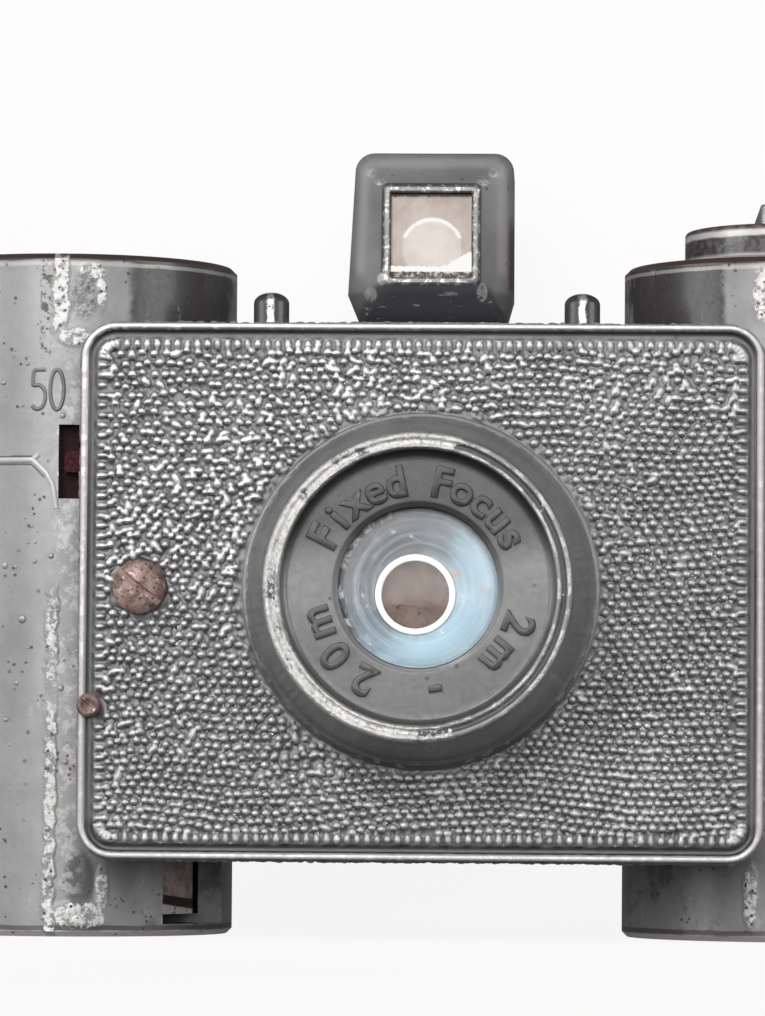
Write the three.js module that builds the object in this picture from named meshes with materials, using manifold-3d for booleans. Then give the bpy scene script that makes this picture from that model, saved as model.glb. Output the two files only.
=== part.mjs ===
// Subminiature spy camera: a die-cast body with two film drums, a clip-on textured front cover with the
// lens, a box finder on top, a key-wound take-up spool and a back cover that draws off. Millimetres, +Z up.
// The lens looks along -Y. The origin lies on the plane the drums stand on, under the middle of the
// camera's overall box. Inside the camera group y is counted from the plane of the two drum axes.

import * as THREE from 'three';
import { mergeVertices } from 'three/addons/utils/BufferGeometryUtils.js';
import { ConvexGeometry } from 'three/addons/geometries/ConvexGeometry.js';
import Module from 'manifold-3d';

const wasm = await Module();
wasm.setup();

// Driving dimensions -------------------------------------------------------------------------------

const DRUM_R = 11.45;
const DRUM_X = 24.93;
const DRUM_H = 46;
const BORE_R = 9.75;
const END_T = 1.4;

const BOX_HALF = 22.25;
const BOX_Z0 = 5.5;
const BOX_Z1 = 40.4;
const BOX_CORNER = 2.2;
const FRONT_Y = -20.8;
const SEAM_Y = -11.2;
const FILM_Y = 9.2;
const BACK_Y = 12.5;

const AXIS_Z = 23;
const RIM_Y = -28.5;
const RIM_R = 9.93;
const CONE_R = 11.4;
const FLOOR_Y = -27.3;
const LENS_R = 5.4;
const STOP_R = 2.19;

const WALL = 1.2;
const GATE = 24;
const FILM_Z0 = 8.4;
const FILM_Z1 = 37.6;
const GAP = 0.2;
const SLIP = 0.02;

const LATCH_X = 10.5;
const LATCH_Y = -10;
const LATCH_TOP = 43.5;

const LEVER_PIVOT = { x: -13.2, z: 31.9 };
const BLADE_PIVOT = { x: -1.8, z: 30.3 };
const BLADE_RATIO = 4.9;
const SLOT_HALF = 2.5;

const SCREW = { x: -18.4, z: 23.15, r: 1.77, shankR: 0.8, end: -15.5 };
const PIN = { x: -21.65, z: 15.4, r: 0.8, shankR: 0.4, clearance: 0.05, end: -17.8 };

const KNOB_R = 7.28;
const KNOB_Z0 = 46.35;
const KNOB_Z1 = 48.7;
const KEY_Z1 = 50.05;

const FINDER_Y0 = 0.5;
const FINDER_Y1 = 10;
const FINDER_TOP = 54.66;

const SIDES = { drum: 96, large: 48, medium: 24, small: 12 };

// How far a cutting tool reaches past the face it opens.
const PAST = 1;

// The group's shift puts the middle of the depth, from lens rim to back cover, over the origin.
const SHIFT_Y = -(RIM_Y + BACK_Y) / 2;

// Finishes -----------------------------------------------------------------------------------------

const FINISH = {
  blackPaint: { color: 0x57565a, roughness: 0.5, metalness: 0.35 },
  steel: { color: 0xa7a4a0, roughness: 0.4, metalness: 0.9 },
  rustySteel: { color: 0x6d5347, roughness: 0.75, metalness: 0.5 },
  brass: { color: 0xb08d4a, roughness: 0.35, metalness: 0.9 },
  blueMetal: { color: 0x8fa6b5, roughness: 0.35, metalness: 0.6 },
  brightMetal: { color: 0xe6e4e0, roughness: 0.2, metalness: 0.95 },
  brownFibre: { color: 0x4a2a2c, roughness: 0.7, metalness: 0 },
  glass: { color: 0xdfe8ee, roughness: 0.05, metalness: 0 },
  rubyPlastic: { color: 0x8a1414, roughness: 0.2, metalness: 0 },
  blackPlastic: { color: 0x1c1c1e, roughness: 0.4, metalness: 0 },
  film: { color: 0x3b3230, roughness: 0.5, metalness: 0 },
};

// Geometry helpers ---------------------------------------------------------------------------------

// Drops collapsed triangles, merges shared vertices and turns the faces outwards.
function closed(geometry) {
  const bare = geometry.index ? geometry.toNonIndexed() : geometry;
  bare.deleteAttribute('normal');
  bare.deleteAttribute('uv');
  const merged = mergeVertices(bare, 1e-4);
  const index = merged.index.array;
  const position = merged.attributes.position;
  const [a, b, c] = [new THREE.Vector3(), new THREE.Vector3(), new THREE.Vector3()];
  const kept = [];
  let volume = 0;
  for (let i = 0; i < index.length; i += 3) {
    const [p, q, r] = [index[i], index[i + 1], index[i + 2]];
    if (p === q || q === r || r === p) continue;
    a.fromBufferAttribute(position, p);
    b.fromBufferAttribute(position, q);
    c.fromBufferAttribute(position, r);
    volume += a.dot(b.cross(c));
    kept.push([p, q, r]);
  }
  const faces = volume < 0 ? kept.map(([p, q, r]) => [p, r, q]) : kept;
  merged.setIndex(faces.flat());
  return merged;
}

function solid(geometry) {
  const shape = closed(geometry);
  return new wasm.Manifold(new wasm.Mesh({
    numProp: 3,
    vertProperties: new Float32Array(shape.attributes.position.array),
    triVerts: new Uint32Array(shape.index.array),
  }));
}

function join(first, ...others) {
  return others.reduce((sum, next) => sum.add(next), first);
}

function cut(first, ...tools) {
  return tools.reduce((rest, tool) => rest.subtract(tool), first);
}

function box(x0, x1, y0, y1, z0, z1) {
  const geometry = new THREE.BoxGeometry(Math.abs(x1 - x0), Math.abs(y1 - y0), Math.abs(z1 - z0));
  return solid(geometry.translate((x0 + x1) / 2, (y0 + y1) / 2, (z0 + z1) / 2));
}

function rodZ(x, y, r, z0, z1, sides = SIDES.medium) {
  const geometry = new THREE.CylinderGeometry(r, r, z1 - z0, sides).rotateX(Math.PI / 2);
  return solid(geometry.translate(x, y, (z0 + z1) / 2));
}

function rodY(x, z, r, y0, y1, sides = SIDES.medium) {
  const geometry = new THREE.CylinderGeometry(r, r, y1 - y0, sides);
  return solid(geometry.translate(x, (y0 + y1) / 2, z));
}

function lathe(profile, sides) {
  return new THREE.LatheGeometry(profile.map(([r, h]) => new THREE.Vector2(r, h)), sides);
}

// A profile of [radius, z] turned about the vertical axis through x, y.
function turnedZ(x, y, profile, sides = SIDES.medium) {
  return solid(lathe(profile, sides).rotateX(Math.PI / 2).translate(x, y, 0));
}

// A profile of [radius, y] turned about the fore-and-aft axis through x, z.
function turnedY(x, z, profile, sides = SIDES.medium) {
  return solid(lathe(profile, sides).translate(x, 0, z));
}

function roundedRect(x0, x1, z0, z1, r) {
  const shape = new THREE.Shape();
  shape.absarc(x1 - r, z0 + r, r, -Math.PI / 2, 0);
  shape.absarc(x1 - r, z1 - r, r, 0, Math.PI / 2);
  shape.absarc(x0 + r, z1 - r, r, Math.PI / 2, Math.PI);
  shape.absarc(x0 + r, z0 + r, r, Math.PI, Math.PI * 1.5);
  return shape;
}

// An outline in x and z given thickness along y.
function slabY(shape, y0, y1, curveSegments = 4) {
  const geometry = new THREE.ExtrudeGeometry(shape, { depth: y1 - y0, bevelEnabled: false, curveSegments });
  return solid(geometry.rotateX(Math.PI / 2).translate(0, y1, 0));
}

// An outline in x and y given height along z.
function slabZ(shape, z0, z1, curveSegments = 8) {
  const geometry = new THREE.ExtrudeGeometry(shape, { depth: z1 - z0, bevelEnabled: false, curveSegments });
  return solid(geometry.translate(0, 0, z0));
}

// A bar with round ends from one point to another in x and z.
function barY(from, to, r, y0, y1) {
  const angle = Math.atan2(to.z - from.z, to.x - from.x);
  const shape = new THREE.Shape();
  shape.absarc(to.x, to.z, r, angle - Math.PI / 2, angle + Math.PI / 2);
  shape.absarc(from.x, from.z, r, angle + Math.PI / 2, angle + Math.PI * 1.5);
  return slabY(shape, y0, y1, 4);
}

function wire(points, r, steps) {
  const section = new THREE.Shape();
  section.absarc(0, 0, r, 0, Math.PI * 2);
  const extrudePath = new THREE.CatmullRomCurve3(points);
  return new THREE.ExtrudeGeometry(section, { extrudePath, steps, curveSegments: 3 });
}

function bothSides(make) {
  return [make(-1), make(1)];
}

// Assembly -----------------------------------------------------------------------------------------

const camera = new THREE.Group();
camera.position.y = SHIFT_Y;

function piece(name, shape, finish) {
  const isManifold = typeof shape.getMesh === 'function';
  const geometry = isManifold ? geometryOf(shape) : closed(shape);
  geometry.computeVertexNormals();
  const mesh = new THREE.Mesh(geometry, new THREE.MeshStandardMaterial(FINISH[finish]));
  mesh.name = name;
  camera.add(mesh);
}

function geometryOf(manifold) {
  const { vertProperties, triVerts } = manifold.getMesh();
  const geometry = new THREE.BufferGeometry();
  geometry.setAttribute('position', new THREE.BufferAttribute(vertProperties, 3));
  geometry.setIndex(new THREE.BufferAttribute(triVerts, 1));
  return geometry;
}

// Body casting -------------------------------------------------------------------------------------

const SPIGOT = { y: -16, half: 20.75, z0: 7, z1: 38.9, corner: 1.2 };
const CHAMBER = { frontHalf: 8, middleHalf: 12.8, middleY: -3 };
const POST = { r: 1.9, y: -19.1, boreR: 0.9, boreEnd: -13 };
const COVER_SPLIT_X = DRUM_X - 2;
const REAR_SPLIT_Y = 1.5;
const CHANNEL = { half: 3.2, z0: 37.95, z1: 39.25, y0: -11.9 };
const LATCH_POCKET = { r: 1.95, z0: 33.2 };
const LATCH_PIN = {
  r: 1.13, clearance: 0.09, tailR: 0.6, tailZ: 35.2, collarR: 1.6, collarZ: 38.15, collarT: 1,
};
const RECESS = { outer: -24.7, inner: -19.2, spigotSide: -21, rear: -10.3 };
const FINDER_SCREW = { x: 2.5, y: 5.6, headR: 1.5, headZ: 35, headT: 0.75, shankR: 0.8, top: 44 };
const SUPPORT_R = 1;
const BUSH_R = 2.6;

function drumBlank(side) {
  const bevel = 0.35;
  return turnedZ(side * DRUM_X, 0, [
    [0, 0], [DRUM_R - bevel, 0], [DRUM_R, bevel], [DRUM_R, DRUM_H - bevel],
    [DRUM_R - bevel, DRUM_H], [0, DRUM_H],
  ], SIDES.drum);
}

function drumOpenings(side) {
  const outer = side * (DRUM_X + DRUM_R + PAST);
  const split = side * COVER_SPLIT_X;
  const inner = side * (DRUM_X - DRUM_R - PAST);
  return join(
    rodZ(side * DRUM_X, 0, BORE_R, END_T, DRUM_H - END_T, SIDES.large),
    box(outer, split, REAR_SPLIT_Y, DRUM_R + PAST, END_T, DRUM_H - END_T),
    box(split, inner, FILM_Y, DRUM_R + PAST, BOX_Z0 - GAP, BOX_Z1 + GAP),
    rodZ(side * DRUM_X, 0, SUPPORT_R, -PAST, END_T + PAST, SIDES.small),
  );
}

function darkChamber() {
  const squareTunnel = (half, y0, y1) => box(-half, half, y0, y1, AXIS_Z - half, AXIS_Z + half);
  const gateWall = FILM_Y - WALL;
  return join(
    squareTunnel(CHAMBER.frontHalf, SPIGOT.y - PAST, CHAMBER.middleY + PAST),
    squareTunnel(CHAMBER.middleHalf, CHAMBER.middleY, gateWall),
    squareTunnel(GATE / 2, gateWall - PAST, FILM_Y + PAST),
  );
}

function latchOpenings(side) {
  const x = side * LATCH_X;
  return join(
    box(x - CHANNEL.half, x + CHANNEL.half, CHANNEL.y0, FILM_Y + PAST, CHANNEL.z0, CHANNEL.z1),
    rodZ(x, LATCH_Y, LATCH_POCKET.r, LATCH_POCKET.z0, CHANNEL.z0 + GAP, SIDES.small),
    rodZ(x, LATCH_Y, LATCH_PIN.r + LATCH_PIN.clearance, CHANNEL.z1 - GAP, BOX_Z1 + PAST, SIDES.small),
  );
}

// The recess in the left flank where the lever's tip shows, and the way to it past the spigot.
function leverRecess() {
  const z0 = LEVER_PIVOT.z - SLOT_HALF;
  const z1 = LEVER_PIVOT.z + SLOT_HALF;
  return join(
    box(RECESS.outer, RECESS.inner, SEAM_Y - PAST, RECESS.rear, z0, z1),
    box(RECESS.spigotSide, RECESS.inner, SPIGOT.y - PAST, RECESS.rear, z0, z1),
  );
}

// The window low in the left drum through which the brake spring shows.
const BRAKE = { angle: -0.585, halfAngle: 0.29, z0: 0.8, z1: 5.2 };

function brakeWindow() {
  const reach = DRUM_R + 2 * PAST;
  const shape = new THREE.Shape();
  shape.moveTo(-DRUM_X, 0);
  for (const offset of [-BRAKE.halfAngle, BRAKE.halfAngle]) {
    const angle = BRAKE.angle + offset;
    shape.lineTo(-DRUM_X + reach * Math.cos(angle), reach * Math.sin(angle));
  }
  return slabZ(shape, BRAKE.z0, BRAKE.z1);
}

function bodyCasting() {
  const middle = slabY(roundedRect(-BOX_HALF, BOX_HALF, BOX_Z0, BOX_Z1, BOX_CORNER), SEAM_Y, FILM_Y);
  const spigotShape = roundedRect(-SPIGOT.half, SPIGOT.half, SPIGOT.z0, SPIGOT.z1, SPIGOT.corner);
  const spigot = slabY(spigotShape, SPIGOT.y, SEAM_Y + PAST);
  const post = rodY(SCREW.x, SCREW.z, POST.r, POST.y, SPIGOT.y + PAST);
  const { x, y, shankR, headZ } = FINDER_SCREW;
  const finderHole = (side) => rodZ(side * x, y, shankR + GAP, headZ - PAST, BOX_Z1 + PAST, SIDES.small);
  const blank = join(middle, spigot, post, ...bothSides(drumBlank));
  return cut(
    blank,
    ...bothSides(drumOpenings),
    ...bothSides(latchOpenings),
    darkChamber(),
    leverRecess(),
    brakeWindow(),
    rodY(SCREW.x, SCREW.z, POST.boreR, POST.y - PAST, POST.boreEnd, SIDES.small),
    rodZ(DRUM_X, 0, BUSH_R, DRUM_H - END_T - PAST, DRUM_H + PAST),
    rodZ(-DRUM_X, 0, SUPPORT_R, DRUM_H - END_T - PAST, DRUM_H - END_T / 3, SIDES.small),
    ...bothSides(finderHole),
    ...BOARD_SCREWS.map(({ x, z }) => rodY(x, z, BOARD_HOLE_R, SPIGOT.y - PAST, SPIGOT.y + 3, SIDES.small)),
  );
}

// Front cover with the lens mount ------------------------------------------------------------------

const FIELD_Y = -20.5;
const FIELD = { half: 21.55, z0: 6.45, z1: 39.1, corner: 1.6 };
const COVER_FRONT_T = 1.6;
const TUBE = { inner: 5.5, outer: 6.9, lip: 5.15, end: -25 };
const CONE_WALL = 1.4;

function lensMount() {
  const floorBack = FLOOR_Y + WALL;
  const coneInner = RIM_R - CONE_WALL;
  const floorR = coneInner - 0.03;
  const fillet = 0.6;
  const coneBack = FIELD_Y + fillet;
  const lipBack = FLOOR_Y + 0.4;
  return turnedY(0, AXIS_Z, [
    [TUBE.lip, FLOOR_Y], [floorR, FLOOR_Y], [floorR + 0.37, RIM_Y], [RIM_R - 0.15, RIM_Y],
    [RIM_R, RIM_Y + 0.2], [CONE_R - 0.35, FIELD_Y - 0.9], [CONE_R + fillet, FIELD_Y],
    [CONE_R + fillet, coneBack], [CONE_R - CONE_WALL, coneBack], [coneInner, floorBack],
    [TUBE.outer, floorBack], [TUBE.outer, TUBE.end], [TUBE.inner, TUBE.end], [TUBE.inner, lipBack],
    [TUBE.lip, lipBack], [TUBE.lip, FLOOR_Y],
  ], SIDES.drum);
}

function frontCover() {
  const outline = roundedRect(-BOX_HALF, BOX_HALF, BOX_Z0, BOX_Z1, BOX_CORNER);
  const hollow = roundedRect(
    -BOX_HALF + WALL, BOX_HALF - WALL, BOX_Z0 + WALL, BOX_Z1 - WALL, BOX_CORNER - WALL,
  );
  const field = roundedRect(-FIELD.half, FIELD.half, FIELD.z0, FIELD.z1, FIELD.corner);
  const edge = SEAM_Y - GAP;
  const hole = ({ x, z }, r, sides) => rodY(x, z, r, FRONT_Y - PAST, FRONT_Y + 2 * COVER_FRONT_T, sides);
  const shell = cut(
    slabY(outline, FRONT_Y, edge),
    slabY(hollow, FRONT_Y + COVER_FRONT_T, edge + PAST),
    slabY(field, FRONT_Y - PAST, FIELD_Y),
    hole({ x: 0, z: AXIS_Z }, CONE_R - 1, SIDES.large),
  );
  return cut(
    join(shell, lensMount()),
    hole(SCREW, SCREW.shankR + GAP, SIDES.small),
    hole(PIN, PIN.shankR + PIN.clearance, SIDES.small),
  );
}

// A slotted pan-head screw whose axis runs along y, head forwards.
function panScrew({ x, z, r, shankR, end }, headY) {
  const slotAngle = 0.66;
  const screw = turnedY(x, z, [
    [0, headY - 1.2], [r * 0.6, headY - 1.1], [r, headY - 0.5], [r, headY], [shankR, headY],
    [shankR, end], [0, end],
  ]);
  const slot = new THREE.BoxGeometry(4 * r, 0.5, 0.5).rotateY(slotAngle).translate(x, headY - 1.05, z);
  return cut(screw, solid(slot));
}

function domedPin({ x, z, r, shankR, end }, headY) {
  return turnedY(x, z, [
    [0, headY - 0.6], [r * 0.7, headY - 0.45], [r, headY], [shankR, headY], [shankR, end], [0, end],
  ], SIDES.small);
}

// Lens and aperture --------------------------------------------------------------------------------

const LENS_Y = FLOOR_Y + 0.45;
const LENS_EDGE_T = 1.1;
const STOP = { inner: 2.65, y0: LENS_Y + 1.2, t: 0.3 };
const RETAINER = { inner: 4.6, y0: LENS_Y + 1.55, t: 0.3 };

// A thin crescent lens: bulging forwards at the front, hollow at the back.
function lensElement() {
  const back = LENS_Y + LENS_EDGE_T;
  return turnedY(0, AXIS_Z, [
    [0, LENS_Y - 0.35], [2.5, LENS_Y - 0.28], [4.9, LENS_Y], [LENS_R, LENS_Y], [LENS_R, back],
    [4.2, back], [2.2, back - 0.25], [0, back - 0.35],
  ]);
}

// A flat ring on the lens axis that fills the tube outwards from its own opening.
function tubeRing({ inner, y0, t }) {
  return turnedY(0, AXIS_Z, [[inner, y0], [LENS_R, y0], [LENS_R, y0 + t], [inner, y0 + t], [inner, y0]]);
}

function stopEyelet() {
  const outer = STOP.inner - 0.05;
  const y1 = STOP.y0 + 0.55;
  return turnedY(0, AXIS_Z, [
    [STOP_R, STOP.y0], [outer, STOP.y0], [outer, y1], [STOP_R, y1], [STOP_R, STOP.y0],
  ]);
}

// Shutter ------------------------------------------------------------------------------------------

const LEVER_Y = { y0: -18.7, y1: -18 };
const TAIL_Y = { y0: -17.7, y1: -17.4 };
const BLADE_Y = { y0: -24.6, y1: -24.3 };
const BOARD_Y = { y0: -17.1, y1: -16.3 };
const BOARD = { half: 19, z0: 8.5, z1: 37.5, corner: 1.5, openingR: 6 };
const BOARD_SCREWS = [12, 34].map((z) => ({ x: 15.5, z, r: 1.1, shankR: 0.55, end: SPIGOT.y + 2.5 }));
const BOARD_HOLE_R = 0.6;
const LEVER_STUD = { shankR: 0.75, headR: 1.5, y0: -19.1, y1: -18.75 };
const BLADE_STUD = { shankR: 0.6, headR: 1, y0: -24.9, y1: -24.68 };
const STUD_PLAY = 0.05;
const DRIVE_PIN_R = 0.35;
const LEVER_ARM = {
  half: 0.7, hubR: 1.9, driveR: 0.8, bendX: -20.4, strap: 0.7, tipX: -24.3, tipY: -10.6, tipT: 0.6,
};
const BLADE = { overlap: 0.45, armHalf: 0.9, hubR: 1, tailReach: 2.6, tailHalf: 1.1, forkHalf: 0.6 };

// The drive pin sits on the line between the two pivots, so that the two arms give the blade's ratio.
const pivotSpan = Math.hypot(BLADE_PIVOT.x - LEVER_PIVOT.x, BLADE_PIVOT.z - LEVER_PIVOT.z);
const bladeArm = pivotSpan / (1 + BLADE_RATIO);
const toBlade = {
  x: (BLADE_PIVOT.x - LEVER_PIVOT.x) / pivotSpan,
  z: (BLADE_PIVOT.z - LEVER_PIVOT.z) / pivotSpan,
};

function onPivotLine(fromBlade) {
  return { x: BLADE_PIVOT.x - toBlade.x * fromBlade, z: BLADE_PIVOT.z - toBlade.z * fromBlade };
}

function shutterBoard() {
  const outline = roundedRect(-BOARD.half, BOARD.half, BOARD.z0, BOARD.z1, BOARD.corner);
  const hole = ({ x, z }, r, sides = SIDES.small) => (
    rodY(x, z, r, BOARD_Y.y0 - PAST, BOARD_Y.y1 + PAST, sides)
  );
  return cut(
    slabY(outline, BOARD_Y.y0, BOARD_Y.y1),
    hole({ x: 0, z: AXIS_Z }, BOARD.openingR, SIDES.medium),
    hole(SCREW, POST.r + 2 * GAP),
    hole(LEVER_PIVOT, LEVER_STUD.shankR + 2 * STUD_PLAY),
    hole(BLADE_PIVOT, BLADE_STUD.shankR + STUD_PLAY),
    ...BOARD_SCREWS.map((place) => hole(place, BOARD_HOLE_R)),
  );
}

// A bent lever: an arm in front of the board, a strap back past the spigot and a tip out through the flank.
function shutterLever() {
  const drive = onPivotLine(bladeArm);
  const { x, z } = LEVER_PIVOT;
  const { half, bendX, strap, tipX, tipY } = LEVER_ARM;
  const blank = join(
    rodY(x, z, LEVER_ARM.hubR, LEVER_Y.y0, LEVER_Y.y1, SIDES.small),
    barY(LEVER_PIVOT, drive, LEVER_ARM.driveR, LEVER_Y.y0, LEVER_Y.y1),
    box(bendX, x, LEVER_Y.y0, LEVER_Y.y1, z - half, z + half),
    box(bendX, bendX + strap, LEVER_Y.y0, tipY, z - half, z + half),
    box(tipX, bendX + strap, tipY - LEVER_ARM.tipT, tipY, z - half, z + half),
    rodY(drive.x, drive.z, DRIVE_PIN_R, LEVER_Y.y1 - 0.3, TAIL_Y.y1, SIDES.small),
  );
  const boreR = LEVER_STUD.shankR + STUD_PLAY;
  return cut(blank, rodY(x, z, boreR, LEVER_Y.y0 - PAST, LEVER_Y.y1 + PAST, SIDES.small));
}

// The blade lies close behind the lens; its hub reaches back to a forked tail beside the lever.
function shutterBlade() {
  const centre = { x: 0, z: AXIS_Z };
  const { x, z } = BLADE_PIVOT;
  const blank = join(
    rodY(0, AXIS_Z, STOP_R + BLADE.overlap, BLADE_Y.y0, BLADE_Y.y1),
    barY(BLADE_PIVOT, centre, BLADE.armHalf, BLADE_Y.y0, BLADE_Y.y1),
    rodY(x, z, BLADE.hubR, BLADE_Y.y0, TAIL_Y.y1, SIDES.small),
    barY(BLADE_PIVOT, onPivotLine(BLADE.tailReach), BLADE.tailHalf, TAIL_Y.y0, TAIL_Y.y1),
  );
  const forkRoot = onPivotLine(bladeArm - DRIVE_PIN_R);
  const forkMouth = onPivotLine(BLADE.tailReach + BLADE.tailHalf + PAST);
  return cut(
    blank,
    barY(forkRoot, forkMouth, BLADE.forkHalf, TAIL_Y.y0 - GAP, TAIL_Y.y1 + GAP),
    rodY(x, z, BLADE_STUD.shankR + STUD_PLAY, BLADE_Y.y0 - PAST, TAIL_Y.y1 + PAST, SIDES.small),
  );
}

function pivotStud({ x, z }, { shankR, headR, y0, y1 }) {
  return turnedY(x, z, [
    [0, y0], [headR, y0], [headR, y1], [shankR, y1], [shankR, BOARD_Y.y1], [0, BOARD_Y.y1],
  ], SIDES.small);
}

// A hairpin spring in front of the board, with one leg towards the blade and one towards its stop.
function shutterSpring() {
  const wireR = 0.22;
  const y = (LEVER_Y.y1 + BOARD_Y.y0) / 2 - 0.2;
  const points = [[-1.4, 32.6], [2.2, 34.4], [4.6, 35.6], [6.2, 34.8], [6, 33], [4.2, 31.4], [3.2, 29.6]];
  return wire(points.map(([x, z]) => new THREE.Vector3(x, y, z)), wireR, 14);
}

// Back latches -------------------------------------------------------------------------------------

function latchPin(side) {
  const { r, tailR, tailZ, collarR, collarZ, collarT } = LATCH_PIN;
  const domeH = r * 0.8;
  const dome = [0, Math.PI / 6, Math.PI / 3].map((angle) => [
    r * Math.cos(angle), LATCH_TOP - domeH + domeH * Math.sin(angle),
  ]);
  return turnedZ(side * LATCH_X, LATCH_Y, [
    [0, tailZ], [tailR, tailZ], [tailR, collarZ], [collarR, collarZ], [collarR, collarZ + collarT],
    [r, collarZ + collarT], ...dome, [0, LATCH_TOP],
  ], SIDES.small);
}

function latchSpring(side) {
  const turns = 3.5;
  const steps = 28;
  const wireR = 0.24;
  const coilR = 1.3;
  const low = LATCH_POCKET.z0 + 0.3;
  const high = LATCH_PIN.collarZ - 0.3;
  const points = [];
  for (let i = 0; i <= steps; i += 1) {
    const angle = (i / steps) * turns * Math.PI * 2;
    const x = side * LATCH_X + coilR * Math.cos(angle);
    const y = LATCH_Y + coilR * Math.sin(angle);
    points.push(new THREE.Vector3(x, y, low + ((high - low) * i) / steps));
  }
  return wire(points, wireR, steps);
}

// Finder -------------------------------------------------------------------------------------------

const WINDOW = { x: 2.85, z0: 45.6, z1: 51.55, end: 7.9 };
const EYE = { z: 49.6, r: 2.05, y0: 8.2, y1: 9 };
const HOOD = { x: 5.74, z0: 45.1, y: 3, corner: 1.1 };
const NECK_HALF = 5.1;
const FRONT_GLASS = { y0: 1.1, y1: 1.9, play: 0.05 };

// The flared front: from the frame round the window out to the full size of the barrel.
function finderHood() {
  const frame = 0.45;
  const inset = 0.5;
  const corners = [];
  for (const sx of [-1, 1]) {
    for (const z of [WINDOW.z0 - frame, WINDOW.z1 + frame]) {
      corners.push(new THREE.Vector3(sx * (WINDOW.x + frame), FINDER_Y0, z));
    }
    for (const z of [HOOD.z0 + inset, FINDER_TOP - inset]) {
      for (const y of [HOOD.y, HOOD.y + 1]) {
        corners.push(new THREE.Vector3(sx * (HOOD.x - inset), y, z));
      }
    }
  }
  return solid(new ConvexGeometry(corners));
}

function finderHousing() {
  const barrel = slabY(roundedRect(-HOOD.x, HOOD.x, HOOD.z0, FINDER_TOP, HOOD.corner), HOOD.y, FINDER_Y1);
  const neck = box(-NECK_HALF, NECK_HALF, HOOD.y, FINDER_Y1, BOX_Z1, HOOD.z0 + PAST);
  const screwHole = (side) => rodZ(
    side * FINDER_SCREW.x, FINDER_SCREW.y, FINDER_SCREW.shankR + 0.05, BOX_Z1 - PAST, FINDER_SCREW.top + GAP,
    SIDES.small,
  );
  return cut(
    join(barrel, neck, finderHood()),
    box(-WINDOW.x, WINDOW.x, FINDER_Y0 - PAST, WINDOW.end, WINDOW.z0, WINDOW.z1),
    rodY(0, EYE.z, EYE.r, WINDOW.end - PAST, FINDER_Y1 + PAST),
    ...bothSides(screwHole),
  );
}

function finderFrontLens() {
  const half = WINDOW.x - FRONT_GLASS.play;
  const [z0, z1] = [WINDOW.z0 + FRONT_GLASS.play, WINDOW.z1 - FRONT_GLASS.play];
  return box(-half, half, FRONT_GLASS.y0, FRONT_GLASS.y1, z0, z1);
}

// The screws go up from inside the body, so their heads hang under its roof.
function finderScrew(side) {
  const { x, y, headR, headZ, headT, shankR, top } = FINDER_SCREW;
  return turnedZ(side * x, y, [
    [0, headZ], [headR, headZ], [headR, headZ + headT], [shankR, headZ + headT], [shankR, top], [0, top],
  ], SIDES.small);
}

// Film transport -----------------------------------------------------------------------------------

const SPOOL = { core: 3, flange: 8.6, z0: 6, z1: 40.2, flangeT: 1.2, bore: 1.5 };
const ROLL_R = 6.6;
const COIL_R = 3.9;
const FILM_T = 0.18;
const KEY = { half: 2.2, width: 1.1, depth: 2.4, play: 0.3, endPlay: 0.4 };
const PIVOT = { r: 1.4, collarR: 2.4, collarT: 0.9, length: 7.2, point: 0.5 };
const SHAFT_R = 1.8;
const SHAFT_PLAY = 0.05;
const BUSH_FLANGE = { r: 3.4, t: 0.6 };
const WASHER = { inner: 1.95, outer: 4.2, play: 0.03 };

function spool(side) {
  const { core, flange, z0, z1, flangeT, bore } = SPOOL;
  const blank = turnedZ(side * DRUM_X, 0, [
    [bore, z0], [flange, z0], [flange, z0 + flangeT], [core, z0 + flangeT], [core, z1 - flangeT],
    [flange, z1 - flangeT], [flange, z1], [bore, z1], [bore, z0],
  ]);
  const x = side * DRUM_X;
  const reach = KEY.half + KEY.play;
  const halfWidth = KEY.width / 2 + KEY.play / 2;
  const keyway = box(x - reach, x + reach, -halfWidth, halfWidth, z1 - KEY.depth - KEY.endPlay, z1 + PAST);
  return cut(blank, keyway);
}

function filmCoil(side, outer) {
  const inner = SPOOL.core + 0.05;
  return turnedZ(side * DRUM_X, 0, [
    [inner, FILM_Z0], [outer, FILM_Z0], [outer, FILM_Z1], [inner, FILM_Z1], [inner, FILM_Z0],
  ]);
}

// Where a line from the bore's mouth touches a coil of radius r: measured from the coil's axis,
// with x counted towards the middle of the camera.
function tangentPoint(mouth, r) {
  const distance = Math.hypot(mouth.x, mouth.y);
  const angle = Math.atan2(mouth.y, mouth.x) + Math.acos(r / distance);
  return { x: r * Math.cos(angle), y: r * Math.sin(angle) };
}

// The stretch of film between the coils: a thin strip that runs flat across the gate.
function filmStrip() {
  const slack = 0.15;
  const mouth = { x: 3, y: FILM_Y + 0.05 };
  const rollEnd = tangentPoint(mouth, ROLL_R + slack);
  const coilEnd = tangentPoint(mouth, COIL_R + slack);
  const front = [
    [-DRUM_X + rollEnd.x, rollEnd.y], [-DRUM_X + mouth.x, mouth.y],
    [DRUM_X - mouth.x, mouth.y], [DRUM_X - coilEnd.x, coilEnd.y],
  ];
  const rear = front.map(([x, y]) => [x, y + FILM_T]).reverse();
  const shape = new THREE.Shape([...front, ...rear].map(([x, y]) => new THREE.Vector2(x, y)));
  return slabZ(shape, FILM_Z0, FILM_Z1);
}

// A stud set in a drum's end, with a collar inside and a pointed pin that the spool turns on. The
// profile runs from the set end, at height 0, inwards.
function pivotProfile(setDepth) {
  const setR = SUPPORT_R - SHAFT_PLAY;
  const { r, collarR, collarT, length, point } = PIVOT;
  return [
    [0, -setDepth], [setR, -setDepth], [setR, 0], [collarR, 0], [collarR, collarT], [r, collarT],
    [r, collarT + length], [0, collarT + length + point],
  ];
}

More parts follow.
